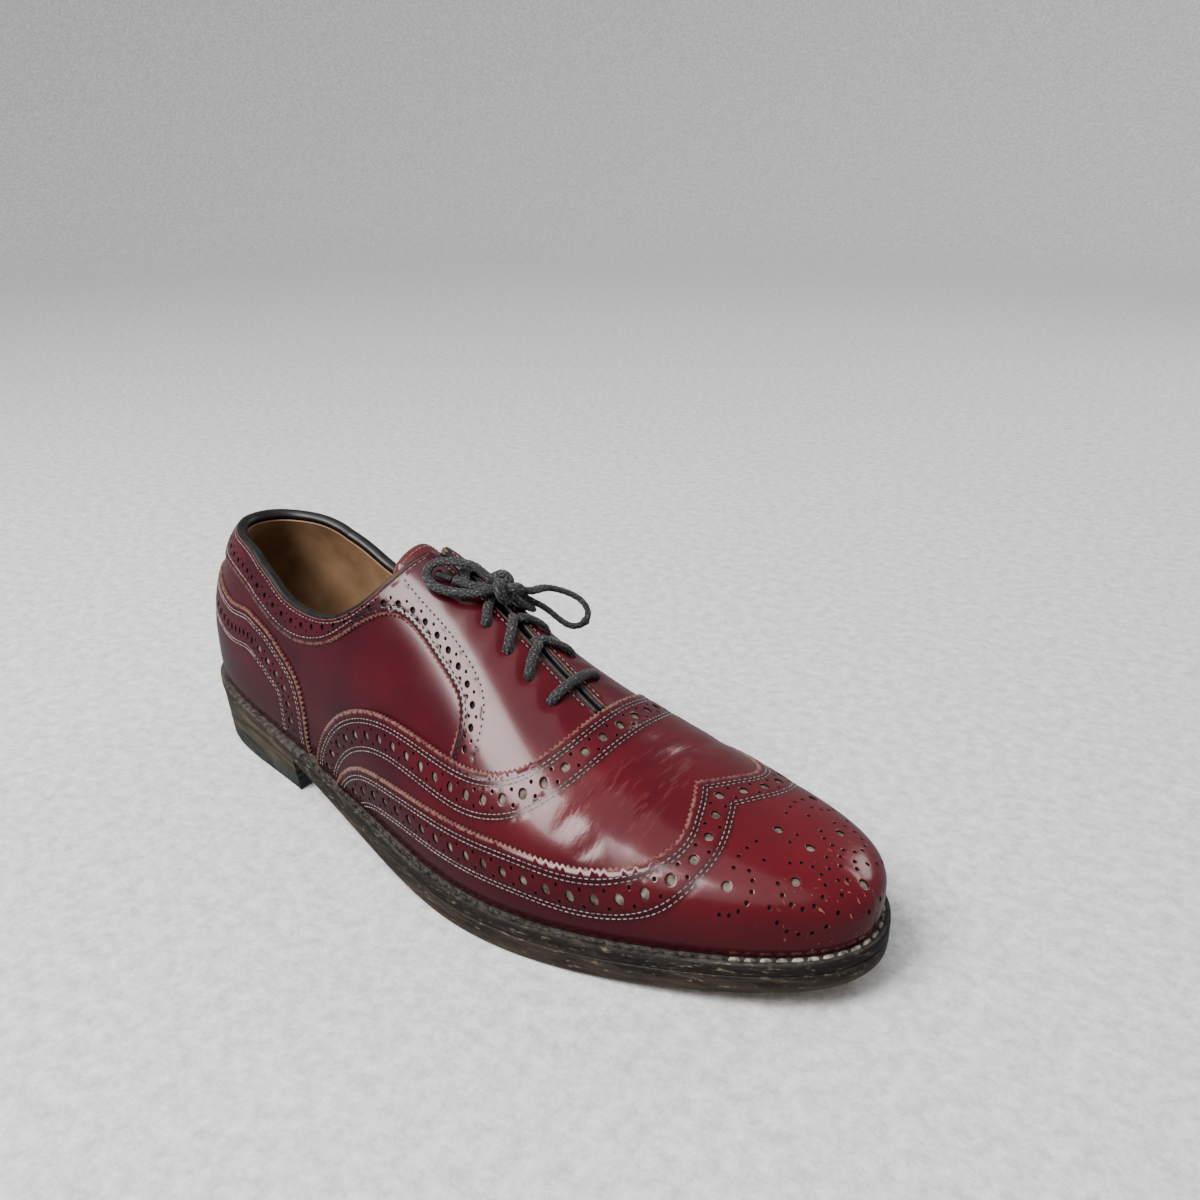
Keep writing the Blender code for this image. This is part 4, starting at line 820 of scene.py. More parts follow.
def build_materials():
    mats = {
        "leather": upper_leather("burgundy_calf", (0.029, 0.0022, 0.007), (0.132, 0.0062, 0.0115)),
        "raw": raw_edge(),
        "tongue": upper_leather("tongue_calf", (0.085, 0.016, 0.018), (0.11, 0.016, 0.02)),
        "binding": plain("black_binding", (0.004, 0.0035, 0.0035), (0.013, 0.011, 0.0105),
                         0.42, 300.0, 1500.0, 0.12, 0.1),
        "lining": plain("tan_lining", (0.19, 0.105, 0.052), (0.29, 0.175, 0.095), 0.62, 60.0, 1400.0, 0.08),
        "insole": plain("insole_leather", (0.26, 0.16, 0.09), (0.4, 0.26, 0.15), 0.7, 45.0, 1300.0, 0.08),
        "sock": plain("sock_leather", (0.2, 0.11, 0.055), (0.32, 0.19, 0.1), 0.55, 50.0, 1300.0, 0.08),
        "sole_edge": sole_edge(),
        "sole_under": plain("worn_sole_leather", (0.1, 0.06, 0.035), (0.24, 0.16, 0.1), 0.7, 40.0, 500.0,
                            0.3, detail=8.0),
        "welt": plain("dusty_welt", (0.009, 0.0075, 0.0065), (0.06, 0.05, 0.041), 0.7, 420.0, 900.0, 0.35),
        "rand": plain("rough_rand", (0.01, 0.008, 0.008), (0.075, 0.06, 0.05), 0.75, 500.0, 700.0, 0.6),
        "heel": plain("heel_stack", (0.016, 0.014, 0.01), (0.07, 0.055, 0.036), 0.5, 120.0, 900.0, 0.15,
                      stretch=(0.4, 0.4, 3.0)),
        "rubber": plain("top_lift_rubber", (0.014, 0.018, 0.017), (0.04, 0.045, 0.043),
                        0.6, 150.0, 900.0, 0.12),
        "thread": plain("pale_thread", (0.12, 0.07, 0.07), (0.36, 0.27, 0.26), 0.75, 700.0, 3000.0, 0.05),
        "dark_thread": plain("dark_thread", (0.006, 0.005, 0.006), (0.03, 0.02, 0.022),
                             0.6, 700.0, 3000.0, 0.05),
        "welt_thread": plain("waxed_welt_thread", (0.07, 0.06, 0.05), (0.46, 0.41, 0.34),
                             0.75, 500.0, 2500.0, 0.15),
        "dust": plain("hole_dust", (0.05, 0.038, 0.03), (0.24, 0.195, 0.155), 0.95, 420.0, 1500.0, 0.2),
        "shadow": plain("hole_shadow", (0.004, 0.002, 0.002), (0.012, 0.006, 0.006), 0.8, 500.0),
        "lace": lace_cloth(),
        "tip": plain("lace_tip", (0.01, 0.01, 0.01), (0.03, 0.03, 0.03), 0.3, 500.0, 900.0, 0.05, 0.4),
        "brass": plain("nail_heads", (0.3, 0.2, 0.08), (0.5, 0.36, 0.16), 0.4, 500.0),
        "board": plain("stiffener_board", (0.3, 0.22, 0.14), (0.42, 0.31, 0.2), 0.85, 200.0),
        "cork": plain("cork_grain", (0.2, 0.11, 0.05), (0.42, 0.27, 0.14), 0.9, 700.0, 900.0, 0.4),
        "steel": plain("shank_steel", (0.3, 0.3, 0.31), (0.46, 0.46, 0.47), 0.35, 300.0),
    }
    for name in ("brass", "steel"):
        mats[name].node_tree.nodes["Principled BSDF"].inputs["Metallic"].default_value = 1.0
    return mats


# ---------------------------------------------------------------- camera, light and floor
def build_camera():
    """A view from the lateral side, in front and above."""
    azimuth, elevation, roll = (math.radians(angle) for angle in (37.54, 23.09, -0.25))
    distance, focus = 463.7, np.array([134.26, 86.42, 56.43])
    ahead = Vector((-math.sin(azimuth) * math.cos(elevation), math.cos(azimuth) * math.cos(elevation),
                    -math.sin(elevation)))
    camera = bpy.data.objects.new("camera", bpy.data.cameras.new("camera"))
    camera.data.sensor_width, camera.data.lens = 36.0, 32.4
    camera.data.clip_start, camera.data.clip_end = 0.01, 30.0
    camera.rotation_mode = "QUATERNION"
    tilt = Matrix.Rotation(roll, 3, "Z").to_quaternion()
    camera.rotation_quaternion = ahead.to_track_quat("-Z", "Y") @ tilt
    camera.location = Vector(place(focus)) - ahead * distance * MM
    bpy.context.collection.objects.link(camera)
    bpy.context.scene.camera = camera


def softbox(name, azimuth, elevation, distance, size, power, colour=(1, 1, 1)):
    """Rectangular light on a dome round the shoe; size is (width, height) in metres."""
    a, e = math.radians(azimuth), math.radians(elevation)
    spot = Vector((math.cos(a) * math.cos(e), math.sin(a) * math.cos(e), math.sin(e))) * distance
    light = bpy.data.lights.new(name, "AREA")
    light.shape = "RECTANGLE"
    light.size, light.size_y = size
    light.energy, light.color = power, colour
    obj = bpy.data.objects.new(name, light)
    obj.location = spot + Vector((0, 0, 0.05))
    obj.rotation_mode = "QUATERNION"
    obj.rotation_quaternion = (-spot).to_track_quat("-Z", "Y")
    bpy.context.collection.objects.link(obj)


def build_light():
    world = bpy.data.worlds.new("studio")
    world.use_nodes = True
    background = world.node_tree.nodes["Background"]
    background.inputs["Color"].default_value = (0.9, 0.92, 0.95, 1)
    background.inputs["Strength"].default_value = 0.32
    bpy.context.scene.world = world
    sun = bpy.data.objects.new("sky", bpy.data.lights.new("sky", "SUN"))
    sun.data.energy, sun.data.angle = 1.1, math.radians(70)
    sun.rotation_euler = (math.radians(22), math.radians(-8), 0)
    bpy.context.collection.objects.link(sun)
    softbox("window", -107, 53, 1.3, (0.66, 0.72), 29.0, (1.0, 0.985, 0.97))
    softbox("far_window", 70, 30, 1.4, (0.5, 0.34), 3.2)


def felt():
    mat, tree, shader = new_material("pale_felt", {"Roughness": 0.95})
    fluff = mixed(tree, ranged(tree, noise(tree, 170.0, 9.0, None, 0.8), 0.37, 0.63), (0.56, 0.565, 0.56),
                  (0.94, 0.945, 0.94))
    tree.links.new(fluff, shader.inputs["Base Color"])
    bumped(tree, shader, [(noise(tree, 420.0, 8.0, None, 0.75), 1.2, 0.5)])
    return mat


def build_floor():
    """A round felt bowl: flat under the shoe, turned up to a wall all round (metres)."""
    mat = felt()
    turns = np.linspace(0, 2 * math.pi, 64, endpoint=False)
    flat, height = 2.0, 2.6
    turn_up = [(flat + math.sin(a), 1 - math.cos(a)) for a in np.linspace(0, math.pi / 2, 9)[1:]]
    section = [(0.6, 0.0), (flat, 0.0)] + turn_up + [(flat + 1, height)]
    points = [(0, 0, 0)] + [(r * math.cos(t), r * math.sin(t), z) for r, z in section for t in turns]
    count = len(turns)
    faces = [(0, 1 + i, 1 + (i + 1) % count) for i in range(count)]
    for k in range(len(section) - 1):
        low, high = 1 + k * count, 1 + (k + 1) * count
        faces += [(low + i, high + i, high + (i + 1) % count, low + (i + 1) % count) for i in range(count)]
    mesh = bpy.data.meshes.new("floor")
    mesh.from_pydata(points, [], faces)
    mesh.shade_smooth()
    mesh.materials.append(mat)
    floor = bpy.data.objects.new("floor", mesh)
    floor.visible_glossy = False        # the felt would veil the polished leather
    bpy.context.collection.objects.link(floor)


# ---------------------------------------------------------------- sole
def skirt(name, rings, mats):
    """Solid of stacked rings of the same count, from the bottom up, closed by flat-patterned caps.

    mats are the sides, the bottom and the top; one material can stand for all. The attribute `low`
    fades from 1 at the bottom ring to 0 at the top one.
    """
    cap_spacing = 8.0
    count, last = len(rings[0][0]), len(rings) - 1
    points = [np.c_[plan, height] for plan, height in rings]
    faces = []
    for level in range(last):
        faces += ring_faces(level * count, (level + 1) * count, count)
    indices = [0] * len(faces)
    total = len(rings) * count
    shares = [np.full(count, 1 - k / last) for k in range(len(rings))]
    for ring_index, flip in ((0, True), (last, False)):
        plan, height = rings[ring_index]
        flat, tris, _ = triangulate(plan, (), (), cap_spacing)
        tree = flat_tree(plan)
        index, extra = [], []
        order = np.argsort(plan[:, 0])
        for spot in flat:
            _, near, gap = tree.find((*spot, 0))
            if gap < 1e-3:
                index.append(ring_index * count + near)
            else:
                level_z = np.interp(spot[0], plan[order, 0], np.asarray(height)[order])
                index.append(total + len(extra))
                extra.append((spot[0], spot[1], level_z))
        if extra:
            points.append(np.array(extra))
            shares.append(np.full(len(extra), 1.0 if flip else 0.0))
            total += len(extra)
        for a, b, c in tris:
            tri = (index[a], index[b], index[c])
            faces.append(tri[::-1] if flip else tri)
            indices.append(1 if flip else 2)
    used = mats + [mats[-1]] * (3 - len(mats))
    obj = make(name, np.vstack(points), faces, used, indices, sharp=50)
    attribute(obj, "low", np.concatenate(shares))
    return obj


def build_sole(mats):
    rings = []
    for sink, part, rise in ((1.5, 0, 0.05), (0.6, 0, 0.25), (0.15, 0, 0.9), (0.0, 0.4, 0), (0.0, 0.75, 0),
                             (0.05, 0.96, 0), (0.35, 1.0, 0)):
        plan = inset(OUTLINE, sink)[::2]
        x = plan[:, 0]
        rings.append((plan, sole_bottom(x) + (sole_top(x) - sole_bottom(x)) * part + rise))
    outsole = skirt("outsole", rings, [mats["sole_edge"], mats["sole_under"], mats["sole_edge"]])
    bend(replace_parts(outsole, "outsole_rear", "outsole_forepart"))
    build_welt(mats)
    build_heel(mats)
    build_insole(mats)


def strip(name, keep, rows, mats, rows_material=None):
    """Strip swept along part of the sole's outline; each row is (inset, z function)."""
    chosen = []
    for distance, z in rows:
        plan = inset(OUTLINE, distance)[keep]
        chosen.append(np.c_[plan, z(OUTLINE[keep, 0])])
    count, levels = len(keep), len(rows)
    faces, indices = [], []
    for k in range(levels):
        faces += ring_faces(k * count, (k + 1) % levels * count, count, 1)
        indices += [rows_material[k] if rows_material else 0] * (count - 1)
    faces.append(tuple(k * count for k in reversed(range(levels))))
    faces.append(tuple(k * count + count - 1 for k in range(levels)))
    indices += [0, 0]
    obj = make(name, np.vstack(chosen), faces, mats, indices, sharp=50)
    low = [0.35, 0.2, 0.05] + [0.0] * (levels - 3)
    attribute(obj, "low", np.repeat(low, count))
    return obj


def build_welt(mats):
    x = OUTLINE[:, 0]
    index = np.arange(len(OUTLINE))
    waist = HEEL_BREAST_X + 4.0
    front = index[x > waist]
    width = profile(WELT_WIDTH, x)

    def level(part, dip=0.0):
        return lambda s: sole_top(s) + 0.12 + (feather_z(s) - 0.25 - sole_top(s)) * part - dip
    groove = width * 0.42
    rows = [(0.3, level(0.0)), (0.05, level(0.1)), (0.0, level(0.5)), (0.15, level(0.85)), (0.7, level(1.0)),
            (groove - 0.9, level(1.0)), (groove, level(1.0, 0.45)), (groove + 0.9, level(1.0)),
            (width + 3.5, level(1.0)), (width + 3.5, level(0.0))]
    welt = strip("welt", front, rows, [mats["sole_edge"], mats["welt"]],
                 rows_material=[0, 0, 0, 0, 1, 1, 1, 1, 0, 0])
    bend(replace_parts(welt, "welt_lateral", "welt_medial", "welt_forepart"))
    wrapped = np.r_[index[len(index) // 2:], index[:len(index) // 2]]
    back = wrapped[x[wrapped] < waist + 3.0]
    rows = [(0.5, level(0.0)), (-0.1, level(0.25)), (-0.1, level(0.7)), (0.5, level(1.1)), (1.4, level(1.2)),
            (6.0, level(1.0)), (6.0, level(0.0))]
    rand = strip("heel_rand_edge", back, rows, [mats["rand"]])
    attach(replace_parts(rand, "heel_rand"), "rearfoot")
    build_welt_stitches(mats, front, groove)


def build_welt_stitches(mats, front, groove):
    """Heavy waxed stitches in the groove of the welt, cleanest round the toe."""
    line = np.c_[inset(OUTLINE, groove)[front], feather_z(OUTLINE[front, 0]) - 0.25]
    run = run_of(line)
    pitch, clean_x = 4.6, 272
    at = np.arange(pitch, run[-1] - pitch, pitch)
    centre, ahead = read_at(line, run, at), read_at(line, run, at + 0.5)
    up = np.tile([0.0, 0.0, 1.0], (len(centre), 1))
    clean = centre[:, 0] > clean_x
    for name, chosen, mat, radius in (("welt_stitches_toe", clean, mats["welt_thread"], 0.75),
                                      ("welt_stitches", ~clean, mats["welt"], 0.6)):
        obj = bars(name, centre[chosen], (ahead - centre)[chosen], up[chosen], pitch * 0.78, radius, mat)
        if name == "welt_stitches_toe":
            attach(obj, "forefoot")
        else:
            bend(obj)


def heel_ring(z, push_in):
    """Heel outline at a height: the back and sides taper, the breast stays upright."""
    count, breast_count, hollow = 150, 24, 1.6
    plan = np.roll(OUTLINE, len(OUTLINE) // 2, axis=0)
    arc = plan[plan[:, 0] < HEEL_BREAST_X]
    arc = even(arc, run_of(arc)[-1] / (count - 1))[:count]
    taper = HEEL_TAPER + (1 - HEEL_TAPER) * z / sole_bottom(0)
    long_taper = taper + 0.5 * (1 - taper)
    scaled = np.c_[HEEL_BREAST_X + (arc[:, 0] - HEEL_BREAST_X) * long_taper, arc[:, 1] * taper]
    breast = np.linspace(scaled[-1], scaled[0], breast_count)[1:-1]
    breast[:, 0] -= hollow * np.sin(np.linspace(0, math.pi, breast_count)[1:-1])
    return inset(np.vstack([scaled, breast]), push_in)


def build_heel(mats):
    lifts = 3

    def stack_z(x, part):
        return TOP_LIFT_THICK * (1 - part) + (sole_bottom(x) - 0.1) * part
    for k in range(lifts):
        low, high = k / lifts, (k + 1) / lifts
        rings = []
        for step, sink in ((0.0, 0.45), (0.1, 0.08), (0.5, 0.0), (0.9, 0.08), (1.0, 0.45)):
            part = low + (high - low) * step
            middle = TOP_LIFT_THICK + (sole_bottom(40.0) - TOP_LIFT_THICK) * part
            plan = heel_ring(middle, sink)
            rings.append((plan, stack_z(plan[:, 0], part)))
        lift_piece = skirt(f"heel_stack_{k + 1}", rings, [mats["heel"]])
        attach(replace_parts(lift_piece, f"heel_lift_{k + 1}"), "rearfoot")
    rings = []
    for z, sink in ((0.35, 3.0), (0.0, 2.6), (0.0, 0.8), (0.35, 0.2), (1.2, 0.0), (4.6, 0.0), (5.3, 0.1),
                    (TOP_LIFT_THICK, 0.5)):
        plan = heel_ring(z, sink)
        rings.append((plan, np.full(len(plan), z)))
    top_piece = skirt("heel_top_piece", rings, [mats["rubber"]])
    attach(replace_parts(top_piece, "top_lift"), "rearfoot")


def build_insole(mats):
    width = profile(WELT_WIDTH, OUTLINE[:, 0])

    def ring(extra, rise):
        plan = inset(OUTLINE, width + extra)[::2]
        return plan, feather_z(plan[:, 0]) + rise
    insole = skirt("insole", [ring(5.6, -1.0), ring(5.0, -0.5), ring(5.0, 0.8), ring(5.6, 1.2)],
                   [mats["insole"]])
    bend(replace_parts(insole, "insole_rear", "insole_forepart"))
    plan = inset(OUTLINE, width + 5.4)
    plan = np.roll(plan, len(plan) // 2, axis=0)
    sock_end = 150.0
    arc = even(plan[plan[:, 0] < sock_end], 2.0)
    turn = np.linspace(0, math.pi, 20)
    end = np.c_[arc[-1, 0] + 5 * np.sin(turn), np.interp(turn, [0, math.pi], [arc[-1, 1], arc[0, 1]])][1:-1]
    ring_points = np.vstack([arc, end])
    rings = [(inset(ring_points, d), feather_z(ring_points[:, 0]) + z)
             for d, z in ((0.0, 1.25), (0.0, 1.9), (0.5, 2.2))]
    sock_piece = skirt("sock", rings, [mats["sock"]])
    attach(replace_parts(sock_piece, "heel_sock"), "rearfoot")


# ---------------------------------------------------------------- upper
CREASES = [  # pattern points, depth, width
    ([(190, 30), (190, 12), (188.5, -2), (186, -14), (181.5, -26), (177, -38), (174, -46)], 0.5, 2.0),
    ([(196, 12), (196.5, -2), (196.5, -14), (196.8, -24), (194, -33)], 0.45, 1.8),
    ([(183, 14), (181, 2), (178, -10), (173, -22)], 0.3, 1.6),
    ([(186, 44), (189, 34), (192, 22)], 0.35, 2.0),
    ([(190, -36), (187.5, -41), (183, -46)], 0.25, 1.6),
]


def line_distance(points, line):
    """Distance from points to a polyline, and how far along it they fall (0 to 1)."""
    best = np.full(len(points), 1e9)
    share = np.zeros(len(points))
    run = run_of(line)
    for i in range(len(line) - 1):
        a, b = line[i], line[i + 1]
        t = np.clip(((points - a) @ (b - a)) / np.dot(b - a, b - a), 0, 1)
        gap = np.linalg.norm(points - a - t[:, None] * (b - a), axis=1)
        closer = gap < best
        best[closer] = gap[closer]
        share[closer] = ((run[i] + t * (run[i + 1] - run[i])) / run[-1])[closer]
    return best, share


def crease_nearness(pattern):
    """1 on a flex crease, fading out beside it."""
    result = np.zeros(len(pattern))
    for points, depth, width in CREASES:
        gap, share = line_distance(pattern, through(points, 3.0))
        fade = np.clip(np.minimum(share, 1 - share) * 5, 0, 1)
        result = np.maximum(result, fade * np.exp(-(gap / (3.2 * width)) ** 2) * min(1.0, depth / 0.6))
    return result


def creased(pattern):
    """Height of the vamp's flex creases: a valley with a soft roll on each side."""
    result = np.zeros(len(pattern))
    near = (pattern[:, 0] > 160) & (pattern[:, 0] < 210)
    if not near.any():
        return result
    spots = pattern[near]
    total = np.zeros(len(spots))
    for points, depth, width in CREASES:
        gap, share = line_distance(spots, through(points, 3.0))
        fade = np.clip(np.minimum(share, 1 - share) * 5, 0, 1)
        roll = 0.55 * np.exp(-((gap - 3.0 * width) / (1.6 * width)) ** 2)
        total += 0.6 * fade * depth * (-np.exp(-(gap / width) ** 2) + roll)
    result[near] = total
    return result


def grooved(base, lines, depth=0.2, width=0.8, extra=None):
    """Height function: a level, dented along lines of stitches."""
    tree = flat_tree(np.vstack([even(line, 0.5) for line in lines]))

    def height(pattern):
        result = np.full(len(pattern), float(base))
        result -= depth * np.exp(-(distances(pattern, tree) / width) ** 2)
        if extra is not None:
            result += extra(pattern)
        return result
    return height


def puckers(pattern):
    """The facings dip round the lace holes and swell a little in front of each."""
    result = np.zeros(len(pattern))
    for p, q in EYELETS:
        gap = np.hypot(pattern[:, 0] - p, np.abs(pattern[:, 1]) - q)
        result -= 0.55 * np.exp(-(gap / 3.4) ** 2)
        ridge = np.hypot(pattern[:, 0] - p - 6.2, np.abs(pattern[:, 1]) - q - 2)
        result += 0.3 * np.exp(-(ridge / 4.0) ** 2)
    return result


def build_quarters(mats):
    for side, name in ((-1, "lateral"), (1, "medial")):
        topline = half_line(TOPLINE, side, 0.0, 1.5)
        slit = even(np.array([(SLIT_START, SLIT_HALF * side), (SLIT_END + 5, SLIT_HALF * side)]), 2.0)
        front = half_line(VAMP_EDGE, side, 8.0, 2.0, -TUCK)[::-1]
        front = front[np.abs(front[:, 1]) > SLIT_HALF + 1.5]
        foot = LAST.feather_run(side, front[-1, 0] - 2, -FAR, -TUCK)
        back = BACK_SEAM * side
        seam_line = even(np.array([(foot[-1, 0], back), (TOPLINE[0][0] - 1, back)]), 2.0)
        outline = ring_of(topline, slit, front, foot, seam_line)
        quarter = panel(f"quarter_{name}_leather", outline, [], QUARTER_H, [mats["leather"], mats["raw"]],
                        spacing=2.2)
        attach(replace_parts(quarter, f"quarter_{name}"), "rearfoot")
        inner = ring_of(half_line(TOPLINE, side, 0.6, 2.0), slit[slit[:, 0] < 158],
                        half_line(VAMP_EDGE, side, 0.0, 2.5, 1.5)[::-1],
                        LAST.feather_run(side, 40, -FAR, 1.0), seam_line)
        lining = panel(f"lining_{name}", inner, [], LINING_H, [mats["lining"], mats["lining"]], spacing=3.0,
                       thickness=LINING_THICK)
        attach(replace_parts(lining, f"quarter_lining_{name}"), "rearfoot")
        build_band(side, name, mats)


def build_band(side, name, mats):
    """Facing and topline band with its holes, rows of stitches and lace holes."""
    topline = half_line(TOPLINE, side, 0.0, 1.2)
    slit = even(np.array([(SLIT_START, SLIT_HALF * side), (SLIT_END - 1, SLIT_HALF * side)]), 1.5)
    under = half_line(VAMP_EDGE, side, 3.5, 1.5)[::-1]
    edge = half_line(BAND_EDGE, side, 0.0, 0.5)
    under = under[(np.abs(under[:, 1]) > SLIT_HALF + 1.5) & (under[:, 0] > edge[-1, 0] + 1.5)]
    outline = ring_of(topline, slit, under, gimped(edge)[::-1])
    holes = punch_row(half_line(BAND_HOLES, side), 6.7, 1.12, 0.46, 1.7)
    lace_holes = [(p, q * side, 1.5) for p, q in EYELETS]
    behind = half_line(BAND_EDGE, side, -2.4)
    double = [half_line(BAND_EDGE, side, offset) for offset in (-1.7, -3.0)]
    rows = {
        "facing": [half_line(FACING_ROW, side)],
        "edge": [line[line[:, 0] > 62] for line in double],
        "top": [half_line(TOPLINE, side, 1.3)],
        "back": [behind[behind[:, 0] < 63]],
        "slit": [slit[2:-2] + (0, 1.6 * side)],
    }
    every = [line for group in rows.values() for line in group]
    height = grooved(BAND_H, every, 0.22, 0.7, puckers)
    band = panel(f"facing_{name}", outline, holes + lace_holes, height, [mats["leather"], mats["raw"]],
                 [even(line, ROW_POINTS) for line in every], 1.5)
    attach(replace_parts(band, f"facing_band_{name}"), "rearfoot")
    floor = hole_floor(f"facing_{name}_holes", holes + lace_holes, BAND_H - 1.0,
                       [mats["shadow"], mats["shadow"]])
    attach(floor, "rearfoot")
    pale, dark = mats["thread"], mats["dark_thread"]
    for part, mat, radius in (("facing", dark, 0.36), ("edge", dark, 0.3), ("back", pale, 0.24),
                              ("top", pale, 0.2), ("slit", pale, 0.22)):
        row = stitches(f"stitches_{part}_{name}", rows[part], height, mat, radius=radius,
                       length=1.0 if part == "facing" else STITCH_LENGTH)
        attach(row, "rearfoot")


def foot_run(edge, end, trim):
    """Along the feather line from an edge's medial end, round one end of the shoe, to its lateral end."""
    return np.vstack([LAST.feather_run(1, edge[-1, 0], end, trim),
                      LAST.feather_run(-1, end, edge[0, 0], trim)[1:]])


def build_counter(mats):
    edge = over_ridge(COUNTER_EDGE, 0.0, 0.5, -TUCK)
    outline = ring_of(gimped(edge), foot_run(edge, -FAR, -TUCK))
    holes = []
    for side in (-1, 1):
        holes += punch_row(half_line(COUNTER_EDGE, side, 10.2, 0.5, 3.5), 6.9, 1.6, 0.55, 2.1)[:-1]
    rows = [over_ridge(COUNTER_EDGE, offset, 0.5, 3.0) for offset in (2.6, 3.9, 15.0, 16.3)]
    height = grooved(BAND_H, rows)
    counter = panel("heel_counter", outline, holes, height, [mats["leather"], mats["raw"]],
                    [even(line, ROW_POINTS) for line in rows], 1.7)
    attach(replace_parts(counter, "heel_counter_overlay"), "rearfoot")
    floor = hole_floor("heel_counter_holes", holes, BAND_H - 0.8, [mats["dust"], mats["shadow"]])
    row = stitches("stitches_counter", rows, height, mats["thread"])
    for obj in (floor, row):
        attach(obj, "rearfoot")


def build_stiffener(mats):
    """The heel stiffener, between the quarters and their lining."""
    edge = over_ridge(STIFFENER_EDGE, 0.0, 2.5, 1.5)
    outline = ring_of(edge, foot_run(edge, -FAR, 1.0))
    stiffener = panel("stiffener", outline, [], STIFFENER_H, [mats["board"], mats["board"]],
                      spacing=3.0, thickness=STIFFENER_THICK)
    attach(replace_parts(stiffener, "heel_stiffener"), "rearfoot")


def edge_rows(edge_points, pitch):
    """Stitch rows and holes that follow a gimped edge over both halves."""
    rows = [over_ridge(edge_points, offset, 0.5, 2.0) for offset in EDGE_ROWS + INNER_ROWS]
    holes = []
    for side in (-1, 1):
        line = half_line(edge_points, side, HOLE_ROW, 0.5, 4.5)
        holes += punch_row(line, pitch, BIG_HOLE, SMALL_HOLE, SMALL_APART)
    centre = [h for h in holes if abs(h[1]) < 2.5 and h[2] == BIG_HOLE]
    return rows, [h for h in holes if h not in centre[1:]]


def build_vamp(mats):
    edge = over_ridge(VAMP_EDGE, 0.0, 0.5, -TUCK)
    front = over_ridge(WING_EDGE, 13.0, 2.0, -TUCK)
    front = front[front[:, 0] > 95]
    foot_m = LAST.feather_run(1, edge[-1, 0], front[-1, 0], -TUCK)
    foot_l = LAST.feather_run(-1, front[0, 0], edge[0, 0], -TUCK)
    outline = ring_of(gimped(edge), foot_m, front[::-1], foot_l)
    rows, holes = edge_rows(VAMP_EDGE, 8.6)
    height = grooved(VAMP_H, rows, 0.22, 0.8, creased)
    vamp = panel("vamp", outline, holes, height, [mats["leather"], mats["raw"]],
                 [even(line, ROW_POINTS) for line in rows], 1.5)
    bend(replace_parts(vamp, "vamp_rear", "vamp_crease", "vamp_forepart"))
    floor = hole_floor("vamp_holes", holes, VAMP_H - 0.85, [mats["dust"], mats["shadow"]])
    row = stitches("stitches_vamp", rows, height, mats["thread"])
    inner = ring_of(over_ridge(VAMP_EDGE, 1.5, 2.5, 1.5), LAST.feather_run(1, 45, FAR, 1.0),
                    LAST.feather_run(-1, FAR, 45, 1.0)[1:])
    lining = panel("vamp_lining", inner, [], LINING_H, [mats["lining"], mats["lining"]], spacing=3.5,
                   thickness=LINING_THICK)
    bend(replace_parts(lining, "vamp_lining_rear", "vamp_lining_crease", "vamp_lining_forepart"))
    for obj in (floor, row):
        bend(obj)


def arc_of_holes(centre, radius, start, end, count):
    """Small holes evenly along an arc in the pattern; angles in degrees from the toe's direction."""
    angles = np.radians(np.linspace(start, end, count))
    return [(centre[0] + radius * math.cos(a), centre[1] + radius * math.sin(a)) for a in angles]


def medallion():
    """Punched figure on the toe: the same on both halves."""
    holes = [(p, 0, MEDALLION_BIG) for p in (231.8, 243, 261)]
    small = [(237.2, 2.3), (248.5, 0), (253.2, 0), (257, 3.0), (266.5, 3.4), (271.5, 0.0), (229.5, 9.2),
             (228.6, 13.2), (228.2, 17.2), (229.0, 21.2)]
    small += arc_of_holes((247.5, 13.3), 6.9, -150, 140, 11)
    small += arc_of_holes((249.0, 14.6), 11.2, -78, 118, 10)
    small += arc_of_holes((229.5, 26.5), 8.0, -62, 75, 7)
    small += [(235.0, 13.8)]
    pairs = [(246, 14.2, MEDALLION_BIG), (230, 27, MEDALLION_BIG)]
    pairs += [(p, q, MEDALLION_SMALL) for p, q in small]
    for p, q, r in pairs:
        holes += [(p, q, r)] if q == 0 else [(p, q, r), (p, -q, r)]
    return holes


def build_wing(mats):
    edge = over_ridge(WING_EDGE, 0.0, 0.5, -TUCK)
    outline = ring_of(gimped(edge), foot_run(edge, FAR, -TUCK))
    rows, holes = edge_rows(WING_EDGE, 8.9)
    holes += medallion()
    height = grooved(WING_H, rows)
    wing = panel("wingtip", outline, holes, height, [mats["leather"], mats["raw"]],
                 [even(line, ROW_POINTS) for line in rows], 1.5)
    bend(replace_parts(wing, "wing_lateral", "wing_medial", "wing_crease_lateral", "wing_crease_medial",
                     "wingtip_toe_cap"))
    floor = hole_floor("wingtip_holes", holes, WING_H - 0.85, [mats["dust"], mats["shadow"]])
    row = stitches("stitches_wingtip", rows, height, mats["thread"])
    for obj in (floor, row):
        bend(obj)


